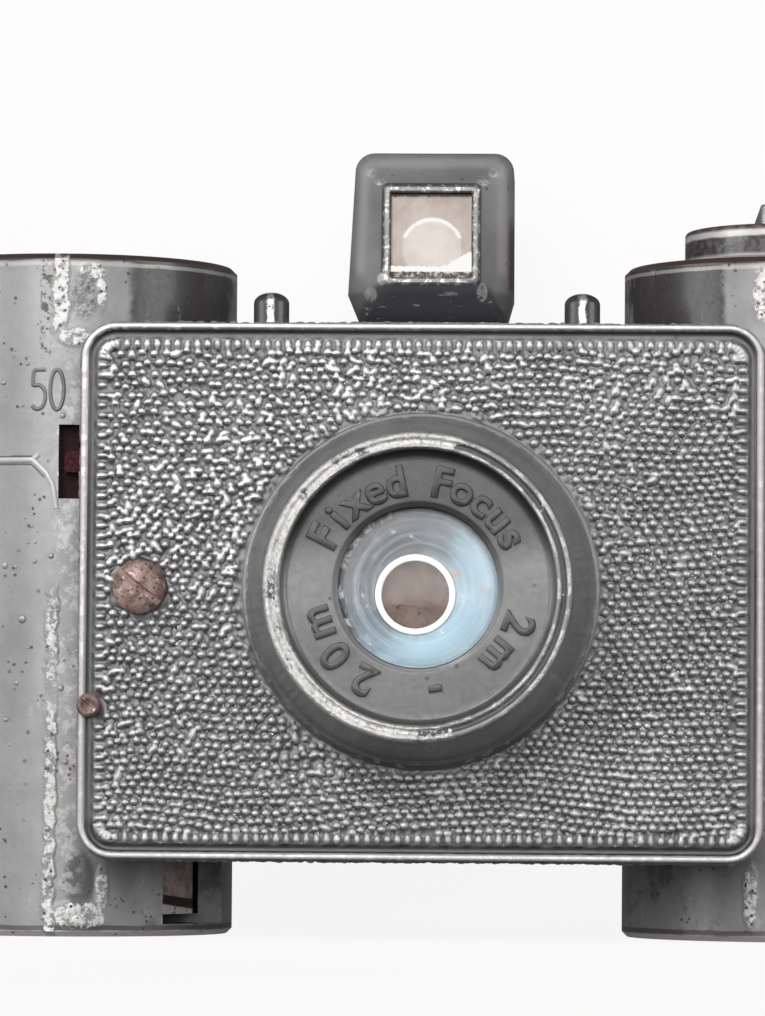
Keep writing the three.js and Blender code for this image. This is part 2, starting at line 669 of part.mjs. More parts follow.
function lowerPivot(side) {
  const profile = pivotProfile(END_T - 0.3).map(([r, h]) => [r, END_T + h]);
  return turnedZ(side * DRUM_X, 0, profile, SIDES.small);
}

function upperPivot() {
  const top = DRUM_H - END_T;
  const profile = pivotProfile(END_T * 0.6).map(([r, h]) => [r, top - h]);
  return turnedZ(-DRUM_X, 0, profile, SIDES.small);
}

function shaftBush() {
  const bore = SHAFT_R + SHAFT_PLAY;
  const outer = BUSH_R - 1.5 * SLIP;
  const under = DRUM_H - END_T - SLIP;
  const low = under + SLIP - BUSH_FLANGE.t;
  return turnedZ(DRUM_X, 0, [
    [bore, low], [BUSH_FLANGE.r, low], [BUSH_FLANGE.r, under], [outer, under],
    [outer, DRUM_H - SLIP], [bore, DRUM_H - SLIP], [bore, low],
  ]);
}

function windShaft() {
  const keyTop = SPOOL.z1 + KEY.endPlay;
  const shaft = rodZ(DRUM_X, 0, SHAFT_R, keyTop, KNOB_Z0 + KNOB_SOCKET);
  const key = box(DRUM_X - KEY.half, DRUM_X + KEY.half, -KEY.width / 2, KEY.width / 2,
    SPOOL.z1 - KEY.depth, keyTop + GAP);
  return join(shaft, key);
}

const KNOB_SOCKET = 1.5;
const KNOB_KEY = { half: 2.35, corner: 0.7 };

function windKnob() {
  const bevel = 0.45;
  const foot = 0.3;
  const disc = turnedZ(DRUM_X, 0, [
    [0, KNOB_Z0], [KNOB_R - foot, KNOB_Z0], [KNOB_R, KNOB_Z0 + foot], [KNOB_R, KNOB_Z1 - bevel],
    [KNOB_R - bevel, KNOB_Z1], [0, KNOB_Z1],
  ], SIDES.large);
  const { half, corner } = KNOB_KEY;
  const keyLength = KNOB_R - 2 * bevel;
  const outline = new THREE.Shape();
  outline.moveTo(DRUM_X - half, KNOB_Z1 - bevel);
  outline.lineTo(DRUM_X + half, KNOB_Z1 - bevel);
  outline.absarc(DRUM_X + half - corner, KEY_Z1 - corner, corner, 0, Math.PI / 2);
  outline.absarc(DRUM_X - half + corner, KEY_Z1 - corner, corner, Math.PI / 2, Math.PI);
  const key = slabY(outline, -keyLength, keyLength);
  const socket = rodZ(DRUM_X, 0, SHAFT_R + SLIP, KNOB_Z0 - PAST, KNOB_Z0 + KNOB_SOCKET + 0.1);
  return cut(join(disc, key), socket);
}

function knobWasher() {
  const { inner, outer, play } = WASHER;
  const [z0, z1] = [DRUM_H + play, KNOB_Z0 - play];
  return turnedZ(DRUM_X, 0, [[inner, z0], [outer, z0], [outer, z1], [inner, z1], [inner, z0]], SIDES.small);
}

const RATCHET = { z0: 41.6, z1: 42.6, r: 4.6, teeth: 12, toothH: 0.8 };
const CLICK = { footY0: -9.3, footY1: -8.7, footX0: -3, footX1: 1, footTop: 44.2 };

function ratchetWheel() {
  const shape = new THREE.Shape();
  const root = RATCHET.r - RATCHET.toothH;
  for (let i = 0; i < RATCHET.teeth; i += 1) {
    const angle = (i / RATCHET.teeth) * Math.PI * 2;
    const place = i === 0 ? 'moveTo' : 'lineTo';
    shape[place](DRUM_X + RATCHET.r * Math.cos(angle), RATCHET.r * Math.sin(angle));
    shape.lineTo(DRUM_X + root * Math.cos(angle), root * Math.sin(angle));
  }
  const bore = rodZ(DRUM_X, 0, SHAFT_R + SHAFT_PLAY, RATCHET.z0 - PAST, RATCHET.z1 + PAST);
  return cut(slabZ(shape, RATCHET.z0, RATCHET.z1), bore);
}

// A leaf whose tip rides just off the ratchet wheel's teeth and whose root is set on the drum wall.
function clickSpring() {
  const z0 = RATCHET.z0 + 0.1;
  const z1 = RATCHET.z1 - 0.1;
  const { footX0, footX1, footY0, footY1, footTop } = CLICK;
  const foot = box(DRUM_X + footX0, DRUM_X + footX1, footY0, footY1, z0, footTop);
  const leaf = new THREE.Shape([
    [-2.9, -9.2], [-2.2, -9.2], [0.9, -4.95], [0.5, -4.75],
  ].map(([x, y]) => new THREE.Vector2(DRUM_X + x, y)));
  return join(foot, slabZ(leaf, z0, z1));
}

const BRAKE_LEAF = { play: 0.15, t: 0.45, halfAngle: 0.22, footInner: 5, top: 5.7 };
const BRAKE_RIVET = { reach: 7, shankR: 0.5, headR: 1 };

// The supply spool's friction brake: a bent leaf that shows in the window and presses up on the flange.
function brakeSpring() {
  const { play, t, halfAngle, footInner, top } = BRAKE_LEAF;
  const outer = BORE_R - play;
  const inner = outer - t;
  const from = BRAKE.angle - halfAngle;
  const to = BRAKE.angle + halfAngle;
  const z0 = END_T + SLIP;
  const leaf = new THREE.Shape();
  leaf.absarc(-DRUM_X, 0, outer, from, to);
  leaf.absarc(-DRUM_X, 0, inner, to, from, true);
  const foot = new THREE.Shape();
  foot.absarc(-DRUM_X, 0, outer, from, to);
  foot.absarc(-DRUM_X, 0, footInner, to, from, true);
  const holeR = BRAKE_RIVET.shankR + STUD_PLAY;
  const hole = rodZ(...brakeRivetPlace(), holeR, END_T - PAST, END_T + PAST, SIDES.small);
  return cut(join(slabZ(leaf, z0, top), slabZ(foot, z0, END_T + t)), hole);
}

function brakeRivetPlace() {
  const { reach } = BRAKE_RIVET;
  return [-DRUM_X + reach * Math.cos(BRAKE.angle), reach * Math.sin(BRAKE.angle)];
}

function brakeRivet() {
  const { shankR, headR } = BRAKE_RIVET;
  const seat = END_T + BRAKE_LEAF.t + 0.05;
  return turnedZ(...brakeRivetPlace(), [
    [0, END_T], [shankR, END_T], [shankR, seat], [headR, seat], [headR - 0.2, seat + 0.4], [0, seat + 0.5],
  ], SIDES.small);
}

// Back cover ---------------------------------------------------------------------------------------

const PANEL = { half: 26, y0: 11 };
const RUBY = { z: AXIS_Z, r: 3.2, play: 0.05, ledge: 0.7, y0: 11.65, y1: 12.2 };
const TONGUE = {
  half: CHANNEL.half - 0.3, tip: CHANNEL.y0 + 0.3, z0: 38.15, z1: 38.95, rootZ: 40, forkHalf: 1.85,
};
const LIP_T = 0.95;
const PLATE = { half: 16, z0: 9, z1: 37, corner: 1.5, y0: 9.55, y1: 10.05 };
const BOW = { half: 12, y: 10.15, rise: 1.2, t: 0.2, z0: 29, z1: 33 };

function drumShell(side) {
  const x = side * DRUM_X;
  const z0 = END_T + GAP;
  const z1 = DRUM_H - END_T - GAP;
  const r = BORE_R + GAP / 2;
  const ring = turnedZ(x, 0, [[r, z0], [DRUM_R, z0], [DRUM_R, z1], [r, z1], [r, z0]], SIDES.drum);
  const outer = side * (DRUM_X + DRUM_R + PAST);
  const inner = side * (COVER_SPLIT_X + GAP);
  return ring.intersect(box(outer, inner, REAR_SPLIT_Y + GAP, DRUM_R + PAST, z0, z1));
}

// The tongue that runs forwards under the body's top and straddles the latch pin with a fork.
function latchTongue(side) {
  const x = side * LATCH_X;
  const { half, tip, z0, z1, rootZ, forkHalf } = TONGUE;
  const root = PANEL.y0 + 0.5;
  return cut(
    join(
      box(x - half, x + half, tip, root, z0, z1),
      box(x - half, x + half, FILM_Y + GAP, root, z0, rootZ),
    ),
    box(x - forkHalf, x + forkHalf, tip - PAST, LATCH_Y + forkHalf + 0.05, z0 - PAST, z1 + 0.5),
  );
}

function backCover() {
  const panel = slabY(roundedRect(-PANEL.half, PANEL.half, BOX_Z0, BOX_Z1, BOX_CORNER), PANEL.y0, BACK_Y);
  const lipY = FILM_Y + GAP;
  const lipEnd = COVER_SPLIT_X - 2.5 * GAP;
  const lip = (z0) => box(-lipEnd, lipEnd, lipY, PANEL.y0 + 0.5, z0, z0 + LIP_T);
  const lips = join(lip(BOX_Z1 - GAP / 4 - LIP_T), lip(BOX_Z0 + GAP / 4));
  return cut(
    join(panel, lips, ...bothSides(drumShell), ...bothSides(latchTongue)),
    rodY(0, RUBY.z, RUBY.r + RUBY.play, RUBY.y0 - RUBY.play, BACK_Y + PAST),
    rodY(0, RUBY.z, RUBY.r - RUBY.ledge, PANEL.y0 - PAST, BACK_Y + PAST),
  );
}

function pressurePlate() {
  const { half, z0, z1, corner, y0, y1 } = PLATE;
  const plate = slabY(roundedRect(-half, half, z0, z1, corner), y0, y1);
  return cut(plate, rodY(0, RUBY.z, RUBY.r - 2 * GAP, y0 - PAST / 2, y1 + PAST / 2));
}

// A bowed leaf between the pressure plate and the back cover, above the red window.
function pressureSpring() {
  const { half, y, rise, t, z0, z1 } = BOW;
  const bow = new THREE.Shape();
  bow.moveTo(-half, y);
  bow.quadraticCurveTo(0, y + rise, half, y);
  bow.lineTo(half, y + t);
  bow.quadraticCurveTo(0, y + t + rise, -half, y + t);
  return slabZ(bow, z0, z1, 10);
}

// All pieces ---------------------------------------------------------------------------------------

piece('body_casting', bodyCasting(), 'blackPaint');
piece('front_cover', frontCover(), 'blackPaint');
piece('cover_screw', panScrew(SCREW, FIELD_Y - SLIP), 'rustySteel');
piece('anchor_pin', domedPin(PIN, FRONT_Y - SLIP), 'rustySteel');

piece('lens_element', lensElement(), 'glass');
piece('aperture_stop', tubeRing(STOP), 'blueMetal');
piece('stop_eyelet', stopEyelet(), 'brightMetal');
piece('lens_retainer', tubeRing(RETAINER), 'brass');

piece('shutter_board', shutterBoard(), 'steel');
piece('shutter_lever', shutterLever(), 'brownFibre');
piece('lever_pivot', pivotStud(LEVER_PIVOT, LEVER_STUD), 'steel');
piece('shutter_blade', shutterBlade(), 'brass');
piece('blade_pivot', pivotStud(BLADE_PIVOT, BLADE_STUD), 'steel');
piece('shutter_spring', shutterSpring(), 'steel');
BOARD_SCREWS.forEach((place, i) => {
  piece(`board_screw_${i + 1}`, panScrew(place, BOARD_Y.y0 - SLIP), 'steel');
});

piece('finder_housing', finderHousing(), 'blackPaint');
piece('finder_front_lens', finderFrontLens(), 'glass');
piece('finder_eyepiece', rodY(0, EYE.z, EYE.r - 2 * SLIP, EYE.y0, EYE.y1), 'glass');
piece('finder_screw_left', finderScrew(-1), 'steel');
piece('finder_screw_right', finderScrew(1), 'steel');

piece('latch_pin_left', latchPin(-1), 'blackPaint');
piece('latch_pin_right', latchPin(1), 'blackPaint');
piece('latch_spring_left', latchSpring(-1), 'steel');
piece('latch_spring_right', latchSpring(1), 'steel');

piece('wind_knob', windKnob(), 'blackPaint');
piece('knob_washer', knobWasher(), 'steel');
piece('wind_shaft', windShaft(), 'steel');
piece('shaft_bush', shaftBush(), 'brass');
piece('ratchet_wheel', ratchetWheel(), 'brass');
piece('click_spring', clickSpring(), 'steel');
piece('take_up_spool', spool(1), 'blackPlastic');
piece('take_up_coil', filmCoil(1, COIL_R), 'film');
piece('take_up_pivot', lowerPivot(1), 'steel');
piece('film_strip', filmStrip(), 'film');

piece('supply_spool', spool(-1), 'blackPlastic');
piece('film_roll', filmCoil(-1, ROLL_R), 'film');
piece('supply_lower_pivot', lowerPivot(-1), 'steel');
piece('supply_upper_pivot', upperPivot(), 'steel');
piece('brake_spring', brakeSpring(), 'rustySteel');
piece('brake_rivet', brakeRivet(), 'steel');

piece('back_cover', backCover(), 'blackPaint');
piece('ruby_window', rodY(0, RUBY.z, RUBY.r, RUBY.y0, RUBY.y1), 'rubyPlastic');
piece('pressure_plate', pressurePlate(), 'steel');
piece('pressure_spring', pressureSpring(), 'steel');

export default camera;
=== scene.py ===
"""Looks for a subminiature camera: worn black enamel on a die casting, a pebbled front cover with a conical
lens mount, a small box finder, latch studs and a winding knob. Points are in millimetres in the CAD frame:
+X to the right, -Y towards the viewer, +Z up."""

import itertools
import math
import random

import bmesh
import bpy
from mathutils import Matrix, Vector, noise
from mathutils.geometry import delaunay_2d_cdt


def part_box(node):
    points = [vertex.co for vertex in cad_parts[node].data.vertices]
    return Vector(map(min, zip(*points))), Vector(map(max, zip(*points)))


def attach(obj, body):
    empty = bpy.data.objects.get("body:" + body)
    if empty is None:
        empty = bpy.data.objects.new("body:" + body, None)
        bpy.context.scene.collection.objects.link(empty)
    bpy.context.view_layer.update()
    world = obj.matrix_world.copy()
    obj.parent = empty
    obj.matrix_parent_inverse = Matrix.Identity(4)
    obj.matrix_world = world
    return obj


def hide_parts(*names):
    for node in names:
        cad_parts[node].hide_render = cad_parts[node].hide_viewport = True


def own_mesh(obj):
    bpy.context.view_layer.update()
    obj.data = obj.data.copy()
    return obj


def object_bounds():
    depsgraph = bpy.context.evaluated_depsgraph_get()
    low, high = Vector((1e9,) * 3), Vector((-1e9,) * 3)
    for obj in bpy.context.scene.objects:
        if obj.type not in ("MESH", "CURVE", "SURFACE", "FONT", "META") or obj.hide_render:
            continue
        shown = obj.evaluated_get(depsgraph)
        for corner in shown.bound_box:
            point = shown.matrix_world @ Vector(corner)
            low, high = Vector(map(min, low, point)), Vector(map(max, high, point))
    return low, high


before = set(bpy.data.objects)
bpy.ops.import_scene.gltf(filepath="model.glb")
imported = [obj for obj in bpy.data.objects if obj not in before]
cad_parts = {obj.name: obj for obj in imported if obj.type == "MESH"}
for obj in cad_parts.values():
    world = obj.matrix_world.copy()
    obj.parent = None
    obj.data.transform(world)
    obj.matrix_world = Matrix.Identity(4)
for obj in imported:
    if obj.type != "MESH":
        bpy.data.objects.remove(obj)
CAD_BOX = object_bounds()
noise.seed_set(7)  # without it, noise_vector differs from run to run
MM = 0.001
TURN = 2 * math.pi


def corners(node):
    low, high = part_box(node)
    return low / MM, high / MM


# Driving dimensions, from the frame --------------------------------------------------------------

COVER_LOW, COVER_HIGH = corners("front_cover")
LENS_LOW, LENS_HIGH = corners("lens_element")
STOP_LOW, STOP_HIGH = corners("aperture_stop")
EYELET_LOW, EYELET_HIGH = corners("stop_eyelet")
SCREW_LOW, SCREW_HIGH = corners("cover_screw")
PIN_LOW, PIN_HIGH = corners("anchor_pin")
FINDER_LOW, FINDER_HIGH = corners("finder_housing")
GLASS_LOW, GLASS_HIGH = corners("finder_front_lens")
EYE_LOW, EYE_HIGH = corners("finder_eyepiece")
KNOB_LOW, KNOB_HIGH = corners("wind_knob")
ROLL_LOW, ROLL_HIGH = corners("film_roll")
BODY_LOW, BODY_HIGH = corners("body_casting")

AXIS_Z = (LENS_LOW.z + LENS_HIGH.z) / 2
RIM_Y = COVER_LOW.y
RIM_R = 9.93
CONE_R = 11.4
MOUNT_DEPTH = 8.0
FIELD_Y = RIM_Y + MOUNT_DEPTH
EDGE_Y = FIELD_Y - 0.3
FLOOR_Y = RIM_Y + 1.2
REAR_Y = COVER_HIGH.y
COVER_CORNER = 2.2
DRAFT = -0.1
WALL = 1.2

DRUM_X = -(ROLL_LOW.x + ROLL_HIGH.x) / 2
DRUM_Y = (ROLL_LOW.y + ROLL_HIGH.y) / 2
DRUM_R = BODY_HIGH.x - DRUM_X
DRUM_TOP = BODY_HIGH.z

SCREW_AT = ((SCREW_LOW.x + SCREW_HIGH.x) / 2, (SCREW_LOW.z + SCREW_HIGH.z) / 2)
SCREW_R = (SCREW_HIGH.x - SCREW_LOW.x) / 2
PIN_AT = ((PIN_LOW.x + PIN_HIGH.x) / 2, (PIN_LOW.z + PIN_HIGH.z) / 2)
PIN_R = (PIN_HIGH.x - PIN_LOW.x) / 2

CAMERA = {"at": (8.96, -351.85, 11.10), "yaw": 1.941, "pitch": 2.921, "roll": -0.4225, "lens": 184.16}


# Mesh helpers ------------------------------------------------------------------------------------

def add_piece(name, points, faces, material, body, stands_for=None, sharp=40):
    """A closed mesh from millimetre points, welded, facing out and smooth up to the sharp angle."""
    mesh = bpy.data.meshes.new(name)
    mesh.from_pydata([Vector(p) * MM for p in points], [], faces)
    shape = bmesh.new()
    shape.from_mesh(mesh)
    bmesh.ops.remove_doubles(shape, verts=shape.verts, dist=2e-7)
    bmesh.ops.recalc_face_normals(shape, faces=shape.faces)
    shape.to_mesh(mesh)
    shape.free()
    return add_object(name, mesh, material, body, stands_for, sharp)


def add_object(name, mesh, material, body, stands_for=None, sharp=40):
    mesh.materials.clear()
    mesh.materials.append(material)
    mesh.shade_smooth()
    mesh.set_sharp_from_angle(angle=math.radians(sharp))
    piece = bpy.data.objects.new(name, mesh)
    bpy.context.scene.collection.objects.link(piece)
    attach(piece, body)
    if stands_for:
        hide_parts(*stands_for)
    return piece


def loft(rings, loop=False):
    """Quads between rings of equal length. An open loft is capped; a looped one returns to its first ring."""
    count = len(rings[0])
    points = [p for ring in rings for p in ring]
    faces = []
    for i in range(len(rings) if loop else len(rings) - 1):
        a, b = i * count, (i + 1) % len(rings) * count
        faces += [(a + k, a + (k + 1) % count, b + (k + 1) % count, b + k) for k in range(count)]
    if not loop:
        last = (len(rings) - 1) * count
        faces += [tuple(range(count)), tuple(range(last, last + count))]
    return points, faces


def joined(*parts):
    """One point list and one face list from several."""
    points, faces = [], []
    for part_points, part_faces in parts:
        start = len(points)
        points += part_points
        faces += [tuple(i + start for i in face) for face in part_faces]
    return points, faces


def eased(path, radius, steps=4, closed=False):
    """A path with each corner rounded by a curve that starts and ends the radius away from the corner."""
    out = []
    last = len(path) - 1
    for i, here in enumerate(path):
        here = Vector(here)
        if not closed and i in (0, last):
            out.append(tuple(here))
            continue
        before, after = Vector(path[i - 1]), Vector(path[(i + 1) % len(path)])
        start = here + (before - here) * min(0.45, radius / max((before - here).length, 1e-9))
        end = here + (after - here) * min(0.45, radius / max((after - here).length, 1e-9))
        for k in range(steps + 1):
            t = k / steps
            out.append(tuple(start * (1 - t) ** 2 + here * 2 * t * (1 - t) + end * t * t))
    return out


def turned_y(profile, sides=192, centre=(0.0, None)):
    """Rings about an axis that runs along Y, from (radius, y) pairs."""
    x, z = centre[0], AXIS_Z if centre[1] is None else centre[1]
    angles = [TURN * k / sides for k in range(sides)]
    return [[(x + r * math.sin(a), y, z + r * math.cos(a)) for a in angles] for r, y in profile]


def turned_z(profile, x, y, sides=96):
    """Rings about an axis that runs along Z, from (radius, z) pairs."""
    angles = [TURN * k / sides for k in range(sides)]
    return [[(x + r * math.cos(a), y + r * math.sin(a), z) for a in angles] for r, z in profile]


# Material helpers --------------------------------------------------------------------------------

class Finish:
    """A node material under construction. place is the point in millimetres, in the CAD frame."""

    def __init__(self, name):
        self.material = bpy.data.materials.new(name)
        self.material.use_nodes = True
        self.tree = self.material.node_tree
        self.tree.nodes.clear()
        self.out = self.node("OutputMaterial")
        self.shader = self.node("BsdfPrincipled")
        self.tree.links.new(self.shader.outputs[0], self.out.inputs["Surface"])
        self.place = self.scaled(self.node("TexCoord").outputs["Object"], 1 / MM)

    def node(self, kind, inputs=None, **settings):
        made = self.tree.nodes.new("ShaderNode" + kind)
        for key, value in settings.items():
            setattr(made, key, value)
        for key, value in (inputs or {}).items():
            self.feed(made.inputs[key], value)
        return made

    def feed(self, socket, value):
        if isinstance(value, bpy.types.NodeSocket):
            self.tree.links.new(value, socket)
        elif isinstance(value, tuple) and len(value) == 3 and socket.type == "RGBA":
            socket.default_value = (*value, 1)
        else:
            socket.default_value = value

    def set(self, **inputs):
        for key, value in inputs.items():
            self.feed(self.shader.inputs[key.replace("_", " ")], value)
        return self

    def scaled(self, vector, scale):
        if isinstance(scale, tuple):
            return self.node("VectorMath", {0: vector, 1: scale}, operation="MULTIPLY").outputs[0]
        return self.node("VectorMath", {0: vector, "Scale": scale}, operation="SCALE").outputs[0]

    def shifted(self, vector, by):
        return self.node("VectorMath", {0: vector, 1: by}, operation="ADD").outputs[0]

    def noise(self, scale, detail=3.0, stretch=(1, 1, 1), shift=(0, 0, 0), rough=0.55):
        """Soft noise from 0 to 1; scale counts features per millimetre."""
        at = self.shifted(self.scaled(self.place, stretch), shift)
        inputs = {"Vector": at, "Scale": scale, "Detail": detail, "Roughness": rough}
        return self.node("TexNoise", inputs).outputs[0]

    def cells(self, scale, stretch=(1, 1, 1), shift=(0, 0, 0)):
        """Distance from the nearest of a scatter of points."""
        at = self.shifted(self.scaled(self.place, stretch), shift)
        return self.node("TexVoronoi", {"Vector": at, "Scale": scale}).outputs["Distance"]

    def math(self, operation, a, b=0.0):
        return self.node("Math", {0: a, 1: b}, operation=operation).outputs[0]

    def ramp(self, value, low, high, to_low=0.0, to_high=1.0):
        inputs = {"Value": value, 1: low, 2: high, 3: to_low, 4: to_high}
        return self.node("MapRange", inputs, interpolation_type="SMOOTHSTEP").outputs[0]

    def mix(self, factor, a, b):
        made = self.node("Mix", data_type="RGBA")
        for socket, value in ((made.inputs[0], factor), (made.inputs[6], a), (made.inputs[7], b)):
            self.feed(socket, value)
        return made.outputs[2]

    def blend(self, factor, a, b):
        """A number that goes from a to b with the factor."""
        made = self.node("Mix", data_type="FLOAT")
        for socket, value in ((made.inputs[0], factor), (made.inputs[2], a), (made.inputs[3], b)):
            self.feed(socket, value)
        return made.outputs[0]

    def near(self, centre, reach, soft=0.5):
        """1 inside an ellipsoid of the given half sizes, falling to 0 at its edge."""
        moved = self.shifted(self.place, tuple(-c for c in centre))
        round_ = self.scaled(moved, tuple(1 / r for r in reach))
        length = self.node("VectorMath", {0: round_}, operation="LENGTH").outputs["Value"]
        return self.ramp(length, 1 - soft, 1, 1, 0)

    def axes(self):
        """The point's x, y and z in millimetres."""
        split = self.node("SeparateXYZ", {0: self.place})
        return split.outputs[0], split.outputs[1], split.outputs[2]

    def band(self, value, low, high, soft=0.05):
        """1 where the value lies between low and high."""
        return self.both(self.ramp(value, low - soft, low + soft), self.ramp(value, high + soft, high - soft))

    def opposite(self, mask):
        return self.math("SUBTRACT", 1.0, mask)

    def plus(self, a, b, share=1.0):
        return self.math("ADD", a, self.math("MULTIPLY", b, share))

    def dim(self, mask, base, share):
        """The colour multiplied by the share where the mask is 1."""
        if isinstance(share, (int, float)):
            share = (share, share, share)
        dark = self.node("VectorMath", {0: base, 1: share}, operation="MULTIPLY").outputs[0]
        return self.mix(mask, base, dark)

    def radius(self, x, z, at):
        across, up = self.math("SUBTRACT", x, at[0]), self.math("SUBTRACT", z, at[1])
        return self.node("VectorMath", {0: self.node("CombineXYZ", {0: across, 2: up}).outputs[0]},
                         operation="LENGTH").outputs["Value"]

    def inset(self, x, z, half, low, high, corner):
        """How far inside a rounded rectangle the point is, in the plane of the front."""
        p = self.math("SUBTRACT", self.math("ABSOLUTE", x), half - corner)
        centred = self.math("ABSOLUTE", self.math("SUBTRACT", z, (low + high) / 2))
        q = self.math("SUBTRACT", centred, (high - low) / 2 - corner)
        outside = self.node("CombineXYZ", {0: self.math("MAXIMUM", p, 0.0), 1: self.math("MAXIMUM", q, 0.0)})
        reach = self.node("VectorMath", {0: outside.outputs[0]}, operation="LENGTH").outputs["Value"]
        within = self.math("MINIMUM", self.math("MAXIMUM", p, q), 0.0)
        return self.math("SUBTRACT", corner, self.math("ADD", reach, within))

    def crevice(self, reach, low=0.5, high=0.9):
        """1 deep in a corner or between bumps, 0 in the open."""
        node = self.node("AmbientOcclusion", {"Distance": reach * MM}, samples=6, only_local=True)
        return self.ramp(node.outputs["AO"], low, high, 1, 0)

    def facing(self):
        """The surface normal's x, y and z."""
        split = self.node("SeparateXYZ", {0: self.node("NewGeometry").outputs["Normal"]})
        return split.outputs[0], split.outputs[1], split.outputs[2]

    def both(self, *masks):
        out = masks[0]
        for mask in masks[1:]:
            out = self.math("MULTIPLY", out, mask)
        return out

    def either(self, *masks):
        out = masks[0]
        for mask in masks[1:]:
            out = self.math("MAXIMUM", out, mask)
        return out

    def edges(self, radius, low=0.03, high=0.25):
        """1 on outside and inside corners tighter than the radius in millimetres."""
        soft = self.node("Bevel", {"Radius": radius * MM}, samples=4).outputs[0]
        flat = self.node("NewGeometry").outputs["Normal"]
        dot = self.node("VectorMath", {0: soft, 1: flat}, operation="DOT_PRODUCT").outputs["Value"]
        return self.ramp(self.math("SUBTRACT", 1.0, dot), low, high)

    def bump(self, height, depth, strength=1.0):
        """Relief of the given depth in millimetres."""
        inputs = {"Height": height, "Distance": depth * MM, "Strength": strength}
        if self.shader.inputs["Normal"].is_linked:
            inputs["Normal"] = self.shader.inputs["Normal"].links[0].from_socket
        self.feed(self.shader.inputs["Normal"], self.node("Bump", inputs).outputs[0])
        return self


ENAMEL = (0.33, 0.325, 0.328)
BARE = (0.72, 0.71, 0.69)
METAL = 0.4


def enamel_base(name, tone=1.0):
    """Thin worn black enamel over a grey casting: mottled, slightly metallic, with fine grain and specks."""
    f = Finish(name)
    cloud = f.ramp(f.noise(0.22, 4, rough=0.6), 0.3, 0.7)
    fine = f.noise(2.6, 4, rough=0.65)
    base = f.mix(cloud, tuple(c * tone * 0.82 for c in ENAMEL), tuple(c * tone * 1.12 for c in ENAMEL))
    specks = f.ramp(f.cells(0.9, shift=(3, 1, 7)), 0.1, 0.16, 1, 0)
    specks = f.both(specks, f.ramp(f.noise(0.35, 2, shift=(9, 2, 4)), 0.5, 0.62))
    base = f.mix(specks, base, tuple(c * 0.35 for c in ENAMEL))
    f.bump(fine, 0.012)
    return f, base


def painted(f, base, bare, bare_colour=BARE, matt=0.0):
    """Glossy paint with bare metal where the mask is 1, and no gloss at all where matt is 1."""
    grain = f.noise(2.6, 4, rough=0.65)
    f.set(Base_Color=f.mix(bare, base, bare_colour), Metallic=f.blend(matt, f.blend(bare, METAL, 0.9), 0.0))
    f.set(Specular_IOR_Level=f.blend(matt, 0.5, 0.05))
    f.set(Roughness=f.blend(bare, f.ramp(grain, 0.3, 0.7, 0.4, 0.56), f.ramp(grain, 0.3, 0.7, 0.3, 0.5)))
    f.set(Coat_Weight=f.blend(f.either(bare, matt), 0.35, 0.0), Coat_Roughness=0.2)
    return f.material


def enamel(name, tone=1.0, edge=0.22, wear=0.5, extra=None, shade=None):
    """Worn enamel with rubbed edges. extra(f) may return a further mask of bare metal, and shade(f, base)
    may change the paint's colour from place to place, painted light and shade included."""
    f, base = enamel_base(name, tone)
    patchy = f.ramp(f.noise(1.1, 4, shift=(4, 4, 1)), 0.62 - 0.3 * wear, 0.72 - 0.2 * wear)
    bare = f.both(f.edges(edge), patchy)
    if extra:
        bare = f.either(bare, extra(f))
    if shade:
        base = shade(f, base)
    return painted(f, base, bare)


# Stage, light and camera -------------------------------------------------------------------------

PAPER_GLOW = 0.985
PAPER_BOUNCE = 0.12
ROOM_GLOW = 0.07

def paper():
    """White paper that glows a little, so that it stays white with faint shadows. Clear from behind."""
    f = Finish("white_paper")
    grain = f.ramp(f.noise(0.02, 2), 0.3, 0.7, 0.985, 1.0)
    seen = f.node("LightPath").outputs["Is Camera Ray"]
    strength = f.blend(seen, PAPER_BOUNCE, f.math("MULTIPLY", grain, PAPER_GLOW))
    glow = f.node("Emission", {"Color": (1.0, 0.993, 0.99), "Strength": strength})
    matt = f.node("BsdfDiffuse", {"Color": f.mix(seen, (0.1, 0.1, 0.1), (0.9, 0.86, 0.855))})
    front = f.node("MixShader", {0: 0.93, 1: matt.outputs[0], 2: glow.outputs[0]})
    back = f.node("BsdfTransparent")
    behind = f.node("NewGeometry").outputs["Backfacing"]
    both = f.node("MixShader", {0: behind, 1: front.outputs[0], 2: back.outputs[0]})
    f.feed(f.out.inputs["Surface"], both.outputs[0])
    return f.material


def make_stage():
    """A floor that turns up into a wall close behind the object."""
    wall_y = CAD_BOX[1].y / MM + 4
    reach, bend = 1500.0, 6.0
    path = [(-reach, 0.0), (wall_y - bend, 0.0)]
    path += [(wall_y - bend * (1 - math.sin(a)), bend * (1 - math.cos(a)))
             for a in (math.pi / 16 * k for k in range(1, 9))]
    path.append((wall_y, reach))
    points = [(x, y, z) for y, z in path for x in (-reach, reach)]
    faces = [(2 * i, 2 * i + 1, 2 * i + 3, 2 * i + 2) for i in range(len(path) - 1)]
    mesh = bpy.data.meshes.new("sweep")
    mesh.from_pydata([Vector(p) * MM for p in points], [], faces)
    mesh.materials.append(paper())
    mesh.shade_smooth()
    sweep = bpy.data.objects.new("sweep", mesh)
    bpy.context.scene.collection.objects.link(sweep)


def add_light(name, at, size, energy, colour=(1, 1, 1), target=(0, 0, 0.025)):
    light = bpy.data.lights.new(name, "AREA")
    light.shape = "DISK"
    light.size = size
    light.energy = energy
    light.color = colour
    lamp = bpy.data.objects.new(name, light)
    lamp.location = at
    lamp.rotation_euler = (Vector(at) - Vector(target)).to_track_quat("Z", "Y").to_euler()
    bpy.context.scene.collection.objects.link(lamp)


